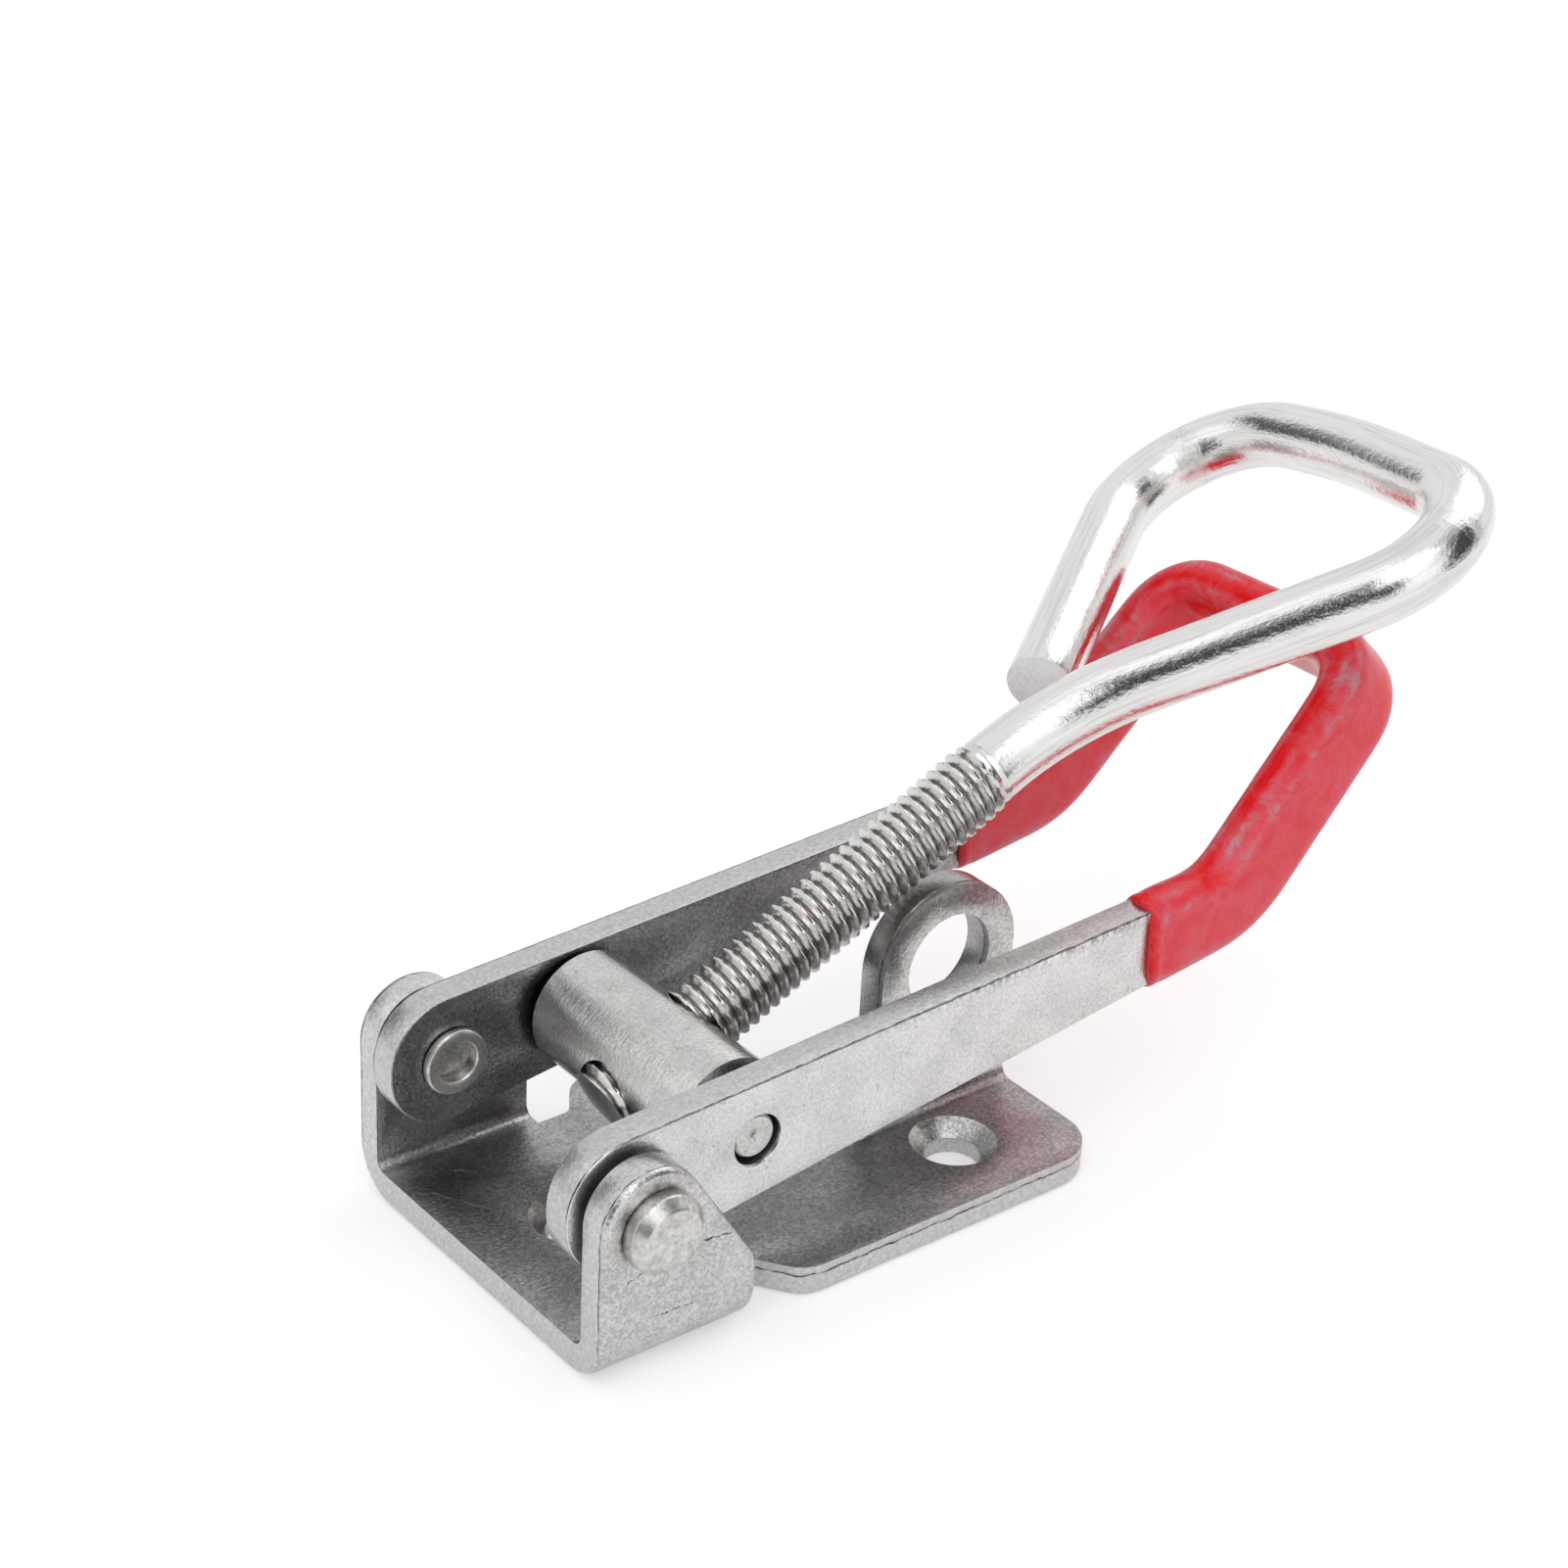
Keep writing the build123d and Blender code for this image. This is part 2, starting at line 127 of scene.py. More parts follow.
def noise(tree: NodeTree, place: NodeSocket, size: float, detail: float, rough: float = 0.5,
          warp: float = 0.0, unit: float = MM, output: str = "Fac") -> NodeSocket:
    """Gives a noise.

    Args:
        tree: node tree that gets the noise.
        place: place that it is read at.
        size: rough size of its marks in millimetres.
        detail: number of finer layers.
        rough: strength of each finer layer in the one before it.
        warp: how far it bends its own coordinates.
        unit: length of a millimetre in the coordinates.
        output: "Fac" for a number or "Color" for three.

    Returns:
        The noise, round a half.
    """
    return add_node(tree, "ShaderNodeTexNoise", {
        "Vector": place, "Scale": 1 / (size * unit), "Detail": detail, "Roughness": rough,
        "Distortion": warp}).outputs[output]


def remap(tree: NodeTree, value: NodeSocket, old: Range, new: Range = (0.0, 1.0),
          smooth: bool = False) -> NodeSocket:
    """Gives a value carried from one range to another and held inside it.

    Args:
        tree: node tree that gets the node.
        value: the value.
        old: two values that it may have.
        new: what these two become.
        smooth: whether the change eases in and out.

    Returns:
        The new value.
    """
    return add_node(tree, "ShaderNodeMapRange", {
        "Value": value, 1: old[0], 2: old[1], 3: new[0], 4: new[1]},
        interpolation_type="SMOOTHSTEP" if smooth else "LINEAR").outputs[0]


def maths(tree: NodeTree, operation: str, *values: NodeSocket | float) -> NodeSocket:
    """Gives what one operation makes of some numbers."""
    return add_node(tree, "ShaderNodeMath", dict(enumerate(values)), operation=operation).outputs[0]


def vectors(tree: NodeTree, operation: str, *values: NodeSocket | Triple | Vector,
            output: str = "Vector") -> NodeSocket:
    """Gives what one operation makes of some vectors, as a vector or, with output "Value", as a number."""
    node = add_node(tree, "ShaderNodeVectorMath", dict(enumerate(values)), operation=operation)
    return node.outputs[output]


def scaled(tree: NodeTree, vector: NodeSocket | Vector, factor: NodeSocket) -> NodeSocket:
    """Gives a vector or a colour multiplied by a factor."""
    return add_node(tree, "ShaderNodeVectorMath", {0: vector, "Scale": factor}, operation="SCALE").outputs[0]


def mixed(tree: NodeTree, factor: NodeSocket | float, one: NodeSocket | float, two: NodeSocket) -> NodeSocket:
    """Gives number one where the factor is 0 and number two where it is 1."""
    return add_node(tree, "ShaderNodeMix", {"Factor": factor, 2: one, 3: two}, data_type="FLOAT").outputs[0]


def blend(tree: NodeTree, factor: NodeSocket, one: NodeSocket | Colour, two: Colour) -> NodeSocket:
    """Gives colour one where the factor is 0 and colour two where it is 1."""
    return add_node(tree, "ShaderNodeMix", {"Factor": factor, 6: one, 7: two}, data_type="RGBA").outputs[2]


def ramp(tree: NodeTree, value: NodeSocket, colours: dict[float, str]) -> NodeSocket:
    """Gives the colour of a value.

    Args:
        tree: node tree that gets the ramp.
        value: the value, from 0 to 1.
        colours: sRGB hex colours by the value that has them.

    Returns:
        The colour.
    """
    node = add_node(tree, "ShaderNodeValToRGB", {"Fac": value})
    stops = node.color_ramp.elements
    while len(stops) < len(colours):
        stops.new(0.5)
    for stop, (position, colour) in zip(stops, sorted(colours.items())):
        stop.position = position
        stop.color = linear(colour)
    return node.outputs["Color"]


def bumps(tree: NodeTree, height: NodeSocket, depth: float, strength: float = 1.0) -> NodeSocket:
    """Gives the normals of a relief whose height from 0 to 1 is depth millimetres."""
    return add_node(tree, "ShaderNodeBump", {
        "Height": height, "Strength": strength, "Distance": depth * MM}).outputs["Normal"]


class Lay(Enum):
    """Direction of a steel surface's fine tool marks, as the stretch of their noise on each axis."""

    NONE = (1.0, 1.0, 1.0)
    ALONG_X = (0.07, 1.0, 1.0)
    UPRIGHT = (1.0, 1.0, 0.08)
    AROUND_Y = (0.07, 1.0, 0.07)


class Across(Enum):
    """Axis through the sheet's thickness at a cut edge, as the number of the coordinate."""

    X = 0
    Y = 1
    Z = 2


@dataclass(frozen=True)
class Finish:
    """A finish, by the real material's name and how its surface was made."""

    name: str

    def material(self) -> Material:
        """Gives the finish's material, built once.

        Returns:
            The material.
        """
        known = bpy.data.materials.get(self.name)
        if known:
            return known
        made = bpy.data.materials.new(self.name)
        made.use_nodes = True
        made.node_tree.nodes.clear()
        shader = add_node(made.node_tree, "ShaderNodeBsdfPrincipled")
        add_node(made.node_tree, "ShaderNodeOutputMaterial", {"Surface": shader.outputs["BSDF"]})
        self.dress(made.node_tree, shader)
        return made

    def dress(self, tree: NodeTree, shader: Node) -> None:
        """Adds the finish's own nodes.

        Args:
            tree: node tree of the material.
            shader: its principled shader.
        """
        raise NotImplementedError


@dataclass(frozen=True)
class Scar:
    """Fine crack or scratch in a skin, as the line it follows in millimetres.

    Soft is the share of its half width over which it fades.
    """

    start: Triple
    end: Triple
    width: float = 0.12
    soft: float = 0.35

    def cover(self, tree: NodeTree, place: NodeSocket) -> NodeSocket:
        """Gives 1 on the scar and 0 beside it.

        Args:
            tree: node tree of the material.
            place: wandering place in metres.

        Returns:
            The cover.
        """
        run = (Vector(self.end) - Vector(self.start)) * MM
        off = vectors(tree, "SUBTRACT", place, Vector(self.start) * MM)
        share = vectors(tree, "DOT_PRODUCT", off, run / run.length_squared, output="Value")
        held = add_node(tree, "ShaderNodeClamp", {"Value": share}).outputs[0]
        away = vectors(tree, "DISTANCE", off, scaled(tree, run, held), output="Value")
        half = self.width * MM / 2
        return remap(tree, away, (half * (1 - self.soft), half * (1 + self.soft)), FALLING)


@dataclass(frozen=True)
class Seep:
    """Brown stain crept out round the foot of a pin that runs along Y, as its place and size in millimetres.

    It grows stronger from the middle towards one side, and is as strong as it gets at share of the radius.
    """

    centre: Triple
    radius: float
    width: float = 0.3
    towards: Triple = (-0.7, 0.0, 0.7)
    share: float = 0.7
    strength: Range = (0.1, 0.9)

    def cover(self, tree: NodeTree, place: NodeSocket) -> NodeSocket:
        """Gives up to 1 on the stain and 0 beside it.

        Args:
            tree: node tree of the material.
            place: wandering place in metres.

        Returns:
            The cover.
        """
        off = vectors(tree, "SUBTRACT", place, Vector(self.centre) * MM)
        away = vectors(tree, "LENGTH", off, output="Value")
        ring = remap(tree, away, (self.radius * MM, (self.radius + self.width) * MM), FALLING)
        side = vectors(tree, "DOT_PRODUCT", off, self.towards, output="Value")
        shown = remap(tree, side, (0.0, self.radius * MM * self.share), self.strength)
        return maths(tree, "MULTIPLY", ring, shown)


@dataclass(frozen=True)
class Fringe:
    """Band of hammered marks with painted highlights and painted shade just below a straight upper edge, as
    the edge's upward direction and its height.

    The marks grow along X over a run in millimetres, and score is how much deeper the tool marks get there.
    """

    upward: Triple
    height: float
    width: float = 1.1
    run: Range = (14.0, 38.0)
    growth: Range = (0.1, 1.0)
    score: float = 6.0
    blow_size: float = 0.42
    blow_stretch: Triple = (1.0, 1.0, 0.4)
    blow_range: Range = (0.4, 0.56)
    painted_light_tone: Range = (0.45, 1.12)

    def cover(self, tree: NodeTree, place: NodeSocket) -> NodeSocket:
        """Gives 1 at the edge and 0 below the band.

        Args:
            tree: node tree of the material.
            place: place in metres.

        Returns:
            The cover.
        """
        rise = vectors(tree, "DOT_PRODUCT", place, self.upward, output="Value")
        band = remap(tree, rise, ((self.height - self.width) * MM, self.height * MM), smooth=True)
        along = add_node(tree, "ShaderNodeSeparateXYZ", {"Vector": place}).outputs["X"]
        grown = remap(tree, along, (self.run[0] * MM, self.run[1] * MM), self.growth)
        return maths(tree, "MULTIPLY", band, grown)

    def hammer_and_paint_light(self, tree: NodeTree, place: NodeSocket, shade: NodeSocket,
               marks: NodeSocket) -> tuple[NodeSocket, NodeSocket]:
        """Breaks a skin's tone into painted highlights and painted shade in the band, and deepens its tool
        marks there.

        Args:
            tree: node tree of the material.
            place: place in metres.
            shade: colour of the skin.
            marks: height of its tool marks.

        Returns:
            The new colour and the new height.
        """
        cover = self.cover(tree, place)
        blows = noise(tree, stretched(tree, place, self.blow_stretch), self.blow_size, 4.0, 0.7, warp=0.8)
        # The band's lighter and darker blows are painted highlights and painted shade; only the deeper marks
        # are relief.
        painted_light = mixed(tree, cover, 1.0, remap(tree, blows, self.blow_range, self.painted_light_tone))
        deeper = maths(tree, "MULTIPLY_ADD", cover, self.score, 1.0)
        return scaled(tree, shade, painted_light), maths(tree, "MULTIPLY", marks, deeper)


@dataclass(frozen=True)
class PeenedSteel(Finish):
    """Stainless sheet or bar tumbled with stones: satin grey and peened all over, with faint tool marks left.

    The small hammered dimples break every reflection into bright and dark grains. Sizes, dimple_depth and
    wander, which is how far scars and stains stray, are in millimetres. Pits, marks and scars go as deep as
    their share of dimple_depth. The ranges are stretches of the noises, which run from 0 to 1 round a half.
    """

    light: str = "#dad9d8"
    dark: str = "#aaa9a8"
    cloud_size: float = 4.0
    dimple_size: float = 0.26
    tone_range: Range = (0.4, 0.6)
    cloud_range: Range = (0.35, 0.65)
    pit_size: float = 0.6
    pit_range: Range = (0.3, 0.38)
    pit_tone: float = 0.65
    pit_depth: float = 0.5
    mark_size: float = 0.16
    lay: Lay = Lay.NONE
    rough_low: float = 0.2
    rough_high: float = 0.3
    dimple_depth: float = 0.035
    mark_share: float = 0.35
    cloud_share: float = 0.3
    wander: float = 0.3
    wander_size: float = 0.5
    scar_depth: float = 1.5
    scar: str = "#4a4644"
    stain: str = "#5d4436"
    scars: tuple[Scar, ...] = ()
    seep: Seep | None = None
    fringe: Fringe | None = None
    metallic: float = 1.0

    def dress(self, tree: NodeTree, shader: Node) -> None:
        """Adds faint clouds of tone, dark pits, and dimples and tool marks in relief.

        Args:
            tree: node tree of the material.
            shader: its principled shader.
        """
        place = object_place(tree)
        cloud = noise(tree, place, self.cloud_size, 4.0, 0.6)
        dimple = noise(tree, place, self.dimple_size, 3.0, 0.7)
        pits = noise(tree, place, self.pit_size, 4.0, 0.75)
        pitted = remap(tree, pits, self.pit_range, (self.pit_tone, 1.0))
        grains = mixed(tree, self.cloud_share, dimple, cloud)
        shade = scaled(tree, ramp(tree, grains, dict(zip(self.tone_range, (self.dark, self.light)))), pitted)
        marks = noise(tree, stretched(tree, place, self.lay.value), self.mark_size, 3.0)
        marks = maths(tree, "MULTIPLY", marks, self.mark_share)
        if self.fringe:
            shade, marks = self.fringe.hammer_and_paint_light(tree, place, shade, marks)
        scored = maths(tree, "ADD", marks, dimple)
        relief = maths(tree, "MULTIPLY_ADD", pitted, self.pit_depth, scored)
        bent = self.strayed(tree, place)
        for scar in self.scars:
            cover = scar.cover(tree, bent)
            shade = blend(tree, cover, shade, linear(self.scar))
            relief = maths(tree, "MULTIPLY_ADD", cover, -self.scar_depth, relief)
        if self.seep:
            shade = blend(tree, self.seep.cover(tree, bent), shade, linear(self.stain))
        fill(tree, shader, {
            "Metallic": self.metallic, "Base Color": shade,
            "Roughness": remap(tree, cloud, self.cloud_range, (self.rough_high, self.rough_low)),
            "Normal": bumps(tree, relief, self.dimple_depth)})

    def strayed(self, tree: NodeTree, place: NodeSocket) -> NodeSocket:
        """Lets a place stray by up to wander millimetres either way, to bend what is drawn there.

        Args:
            tree: node tree of the material.
            place: place in metres.

        Returns:
            The wandering place.
        """
        blot = noise(tree, place, self.wander_size, 4.0, output="Color")
        drift = vectors(tree, "SUBTRACT", blot, (0.5, 0.5, 0.5))
        return vectors(tree, "MULTIPLY_ADD", drift, (self.wander * MM * 2,) * 3, place)


@dataclass(frozen=True)
class ShearedEdge(Finish):
    """Cut edge of stamped stainless sheet: a burnished band, a wavy break line and a torn band beyond it.

    The band next to the punch shines, and the torn one is grainy and a little darker. Start, sheet, depth
    and the sizes are in millimetres. Break_at, wave, blur, torn_width and the reaches are shares of the
    sheet's thickness, and the rest are factors or stretches of the noises.
    """

    across: Across = Across.Z
    start: float = 0.0
    sheet: float = 2.5
    break_at: float = 0.8
    wave: float = 0.16
    wave_size: float = 1.8
    blur: float = 0.02
    torn_width: float = 0.3
    line_reach: Range = (0.012, 0.03)
    step_reach: float = 0.03
    step_height: float = 1.6
    gap_size: float = 1.1
    gap_range: Range = (0.42, 0.54)
    gap_line: float = 0.15
    grain_size: float = 0.35
    grain_range: Range = (0.3, 0.7)
    grain_tone: Range = (0.7, 1.1)
    gloss_reach: Range = (-0.1, 0.05)
    rough: Range = (0.26, 0.38)
    depth: float = 0.045
    light: str = "#dcdbda"
    torn: str = "#cbc9c7"
    line: str = "#383533"

    def dress(self, tree: NodeTree, shader: Node) -> None:
        """Adds the two bands, the break line between them and their relief.

        Args:
            tree: node tree of the material.
            shader: its principled shader.
        """
        place = object_place(tree)
        split = add_node(tree, "ShaderNodeSeparateXYZ", {"Vector": place})
        size = maths(tree, "ABSOLUTE", split.outputs[self.across.value])
        depth = remap(tree, size, (abs(self.start) * MM, (abs(self.start) + self.sheet) * MM))
        bent = maths(tree, "MULTIPLY_ADD", noise(tree, place, self.wave_size, 6.0, 0.65), self.wave, depth)
        # The noise averages a half, so the break line lies half a wave further in.
        middle = self.break_at + self.wave / 2
        bands = ramp(tree, bent, {
            middle - self.blur: self.light, middle + self.blur: self.torn,
            middle + self.torn_width: self.light})
        # The line is dark in some stretches and faint in the gaps between them.
        drawn = remap(tree, noise(tree, place, self.gap_size, 3.0, 0.6), self.gap_range, (self.gap_line, 1.0))
        away = maths(tree, "ABSOLUTE", maths(tree, "SUBTRACT", bent, middle))
        near = remap(tree, away, self.line_reach, FALLING)
        tone = blend(tree, maths(tree, "MULTIPLY", near, drawn), bands, linear(self.line))
        grain = noise(tree, place, self.grain_size, 4.0, 0.7)
        grainy = remap(tree, grain, self.grain_range, self.grain_tone)
        step_at = middle - self.step_reach, middle + self.step_reach
        step = remap(tree, bent, step_at, (self.step_height, 0.0))
        gloss_at = middle + self.gloss_reach[0], middle + self.gloss_reach[1]
        fill(tree, shader, {
            "Metallic": 1.0, "Base Color": scaled(tree, tone, grainy),
            "Roughness": remap(tree, bent, gloss_at, self.rough),
            "Normal": bumps(tree, maths(tree, "ADD", step, grain), self.depth, 0.8)})


@dataclass(frozen=True)
class DrawnRod(Finish):
    """Bright drawn stainless bar, bent cold: nearly a mirror, with short fine drag marks along the bar."""

    light: str = "#eeedec"
    dark: str = "#d8d7d5"
    drag_size: float = 0.42
    drag_stretch: Triple = (0.7, 1.0, 1.0)
    drag_depth: float = 0.05
    streaks_per_mm: float = 2.2
    streak_stretch: Triple = (0.04, 1.0, 1.0)
    streak_depth: float = 0.25
    tone_range: Range = (0.34, 0.52)
    gloss_range: Range = (0.3, 0.6)
    rough: Range = (0.11, 0.05)

    def dress(self, tree: NodeTree, shader: Node) -> None:
        """Adds drag marks and long streaks along the bar, in tone, gloss and relief.

        Args:
            tree: node tree of the material.
            shader: its principled shader.
        """
        # rod_place holds each point's place along and across the bar in millimetres.
        place = attribute(tree, "rod_place", "Vector")
        drag = noise(tree, stretched(tree, place, self.drag_stretch), self.drag_size, 4.0, 0.65, unit=1.0)
        streaks = noise(tree, stretched(tree, place, self.streak_stretch), 1 / self.streaks_per_mm, 5.0, 0.7,
                        unit=1.0)
        relief = maths(tree, "MULTIPLY_ADD", streaks, self.streak_depth, drag)
        fill(tree, shader, {
            "Metallic": 1.0,
            "Base Color": ramp(tree, streaks, dict(zip(self.tone_range, (self.dark, self.light)))),
            "Roughness": remap(tree, streaks, self.gloss_range, self.rough),
            "Normal": bumps(tree, relief, self.drag_depth)})


@dataclass(frozen=True)
class RolledThread(Finish):
    """Thread rolled into stainless bar: polished crests, and painted shade with a breath of rust in the
    roots.
    """

    crest: str = "#dfdddb"
    # Root colour, darker than the crest: painted shade.
    root: str = "#75716d"
    rust: str = "#8d6240"
    patch_size: float = 2.5
    rust_range: Range = (0.54, 0.66)
    rust_share: float = 0.8
    crest_from: float = 0.3
    rough: Range = (0.4, 0.2)

    def dress(self, tree: NodeTree, shader: Node) -> None:
        """Darkens the roots by depth as painted shade, tints some of them with rust and leaves the crests
        bright.

        Args:
            tree: node tree of the material.
            shader: its principled shader.
        """
        patches = noise(tree, object_place(tree), self.patch_size, 5.0, 0.65)
        rusted = remap(tree, patches, self.rust_range, (0.0, self.rust_share))
        # The roots' dark tone is painted shade, tinted with rust in patches.
        root_shade_and_grime = blend(tree, rusted, linear(self.root), linear(self.rust))
        # thread_depth is 0 at the root and 1 at the crest.
        crest_share = remap(tree, attribute(tree, "thread_depth"), (0.0, self.crest_from), smooth=True)
        fill(tree, shader, {
            "Metallic": 1.0, "Base Color": blend(tree, crest_share, root_shade_and_grime, linear(self.crest)),
            "Roughness": remap(tree, crest_share, (0.0, 1.0), self.rough)})


@dataclass(frozen=True)
class DippedVinyl(Finish):
    """Soft vinyl dipped hot and cured: a thick glossy skin, bloomed and rubbed grey where it is handled, with
    a painted reflection in paler red on its upright sides.
    """

    colour: str = "#e60d17"
    # Paler red for the upright sides: a painted reflection.
    painted_side_sheen: str = "#e6525e"
    bloom: str = "#d8707f"
    grime: str = "#b39aa1"
    ripple_size: float = 5.0
    patch_size: float = 3.2
    patch_range: Range = (0.36, 0.6)
    patch_tone: Range = (0.45, 1.1)
    speck_size: float = 0.45
    speck_height: float = 0.06
    corner_wear: float = 1.1
    pale_range: Range = (0.54, 0.92)
    pale_share: float = 0.9
    dirt_range: Range = (0.22, 0.42)
    dirt_share: float = 0.75
    rough: Range = (0.13, 0.42)
    depth: float = 0.3

    def dress(self, tree: NodeTree, shader: Node) -> None:
        """Adds pale bloom, grey rubbed marks, a painted reflection on the upright sides and the slow ripples
        of the dip.

        Args:
            tree: node tree of the material.
            shader: its principled shader.
        """
        place = object_place(tree)
        ripple = noise(tree, place, self.ripple_size, 2.0)
        patches = noise(tree, place, self.patch_size, 9.0, 0.75, warp=0.6)
        specks = noise(tree, place, self.speck_size, 4.0, 0.8)
        # rubbed is how far in millimetres a point stands back from the skin's sharp outline, most at its
        # corners, and flank is 1 on the skin's upright sides, which get a paler red as a painted reflection.
        handled = maths(tree, "MULTIPLY_ADD", attribute(tree, "rubbed"), self.corner_wear, patches)
        pale = remap(tree, handled, self.pale_range, (0.0, self.pale_share))
        worn = maths(tree, "MULTIPLY", pale, specks)
        root_shade_and_grime = remap(tree, worn, self.dirt_range, (0.0, self.dirt_share))
        # Paler red on the upright sides, broken into patches: a painted reflection.
        patchy = remap(tree, patches, self.patch_range, self.patch_tone)
        side_sheen = maths(tree, "MULTIPLY", attribute(tree, "flank"), patchy)
        tone = linear(self.colour)
        for share, colour in ((side_sheen, self.painted_side_sheen), (pale, self.bloom), (root_shade_and_grime, self.grime)):
            tone = blend(tree, share, tone, linear(colour))
        waves = maths(tree, "MULTIPLY_ADD", specks, self.speck_height, ripple)
        fill(tree, shader, {
            "Base Color": tone, "Roughness": remap(tree, pale, (0.0, 0.7), self.rough),
            "Specular IOR Level": 0.22, "Normal": bumps(tree, waves, self.depth, 0.6)})


@dataclass(frozen=True)
class PaleFloor(Finish):
    """Matt white paper sweep: it shows white, and keeps a soft shadow.

    Lift is the light it gives off to the camera, and mirror_lift what it gives off to polished steel.
    """

    colour: str = "#e4e4e4"
    lift: float = 0.36
    mirror_lift: float = 0.2
    grain_size: float = 1.5
    grain_depth: float = 0.02

    def dress(self, tree: NodeTree, shader: Node) -> None:
        """Adds a faint paper grain, and lifts the paper to white where the camera sees it.

        Args:
            tree: node tree of the material.
            shader: its principled shader.
        """
        grain = noise(tree, object_place(tree), self.grain_size, 3.0)
        path = add_node(tree, "ShaderNodeLightPath").outputs
        mirrored = maths(tree, "MULTIPLY", path["Is Glossy Ray"], self.mirror_lift)
        fill(tree, shader, {
            "Base Color": linear(self.colour), "Roughness": 0.9, "Specular IOR Level": 0.1,
            "Normal": bumps(tree, grain, self.grain_depth, 0.1), "Emission Color": grey(1.0),
            "Emission Strength": maths(tree, "MULTIPLY_ADD", path["Is Camera Ray"], self.lift, mirrored)})


def seen_rays(tree: NodeTree) -> NodeSocket:
    """Gives 1 on rays that show the backdrop: from the camera, off gloss or through glass.

    Args:
        tree: node tree of the world.

    Returns:
        The factor.
    """
    path = add_node(tree, "ShaderNodeLightPath").outputs
    seen = maths(tree, "MAXIMUM", path["Is Camera Ray"], path["Is Glossy Ray"])
    return maths(tree, "MAXIMUM", seen, path["Is Transmission Ray"])


def sharp_edges(mesh: BMesh, angle: float = 40.0) -> list[BMEdge]:
    """Gives the edges where two faces meet at more than angle degrees."""
    limit = math.radians(angle)
    return [e for e in mesh.edges if len(e.link_faces) == 2 and e.calc_face_angle(0.0) > limit]


def show(mesh: BMesh, name: str, body: str, finishes: Iterable[Finish], nodes: Iterable[str],
         smooth_below: float = 32.0) -> None:
    """Makes a finished piece from a mesh, and puts it on its body in place of its plain nodes.

    Args:
        mesh: the piece's shape in the model's frame, freed here.
        name: name of the piece.
        body: body that carries it.
        finishes: its finishes, in the order of the faces' material numbers.
        nodes: plain nodes that it stands for.
        smooth_below: angle in degrees under which neighbouring faces shade smoothly.
    """
    data = bpy.data.meshes.new(name)
    for face in mesh.faces:
        face.smooth = True
    mesh.to_mesh(data)
    mesh.free()
    data.set_sharp_from_angle(angle=math.radians(smooth_below))
    piece = bpy.data.objects.new(name, data)
    bpy.context.scene.collection.objects.link(piece)
    for finish in finishes:
        data.materials.append(finish.material())
    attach(piece, body)
    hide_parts(*nodes)
    log.info("%s: %d faces on %s", name, len(data.polygons), body)


def merged_copy(node: str, flat_within: float = 0.4) -> BMesh:
    """Copies a node's loose triangles into one closed mesh with whole flat faces.

    Args:
        node: name of the node.
        flat_within: angle in degrees below which two faces are one.

    Returns:
        The merged mesh.
    """
    mesh = bmesh.new()
    mesh.from_mesh(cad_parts[node].data)
    bmesh.ops.remove_doubles(mesh, verts=mesh.verts, dist=2 * WELD)
    bmesh.ops.dissolve_limit(mesh, angle_limit=math.radians(flat_within), verts=mesh.verts, edges=mesh.edges)
    return mesh


def soften(mesh: BMesh, edges: list[BMEdge], width: float, segments: int = 2) -> None:
    """Rounds some edges of a mesh.

    Args:
        mesh: mesh to change.
        edges: its edges that are rounded.
        width: width of the rounding in millimetres.
        segments: faces across the rounding.
    """
    bmesh.ops.bevel(mesh, geom=edges, offset=width * MM, offset_type="OFFSET", segments=segments, profile=0.5,
                    affect="EDGES", clamp_overlap=True, material=-1)


class SheetFace(IntEnum):
    """Kind of a face of the folded sheet, as the number of its finish."""

    OPEN = 0
    EAR_CUT = 1
    PLATE_CUT = 2
    TAB_CUT = 3
    # Darker copy of the open skin's finish: painted shade.
    PAINTED_SHADE = 4


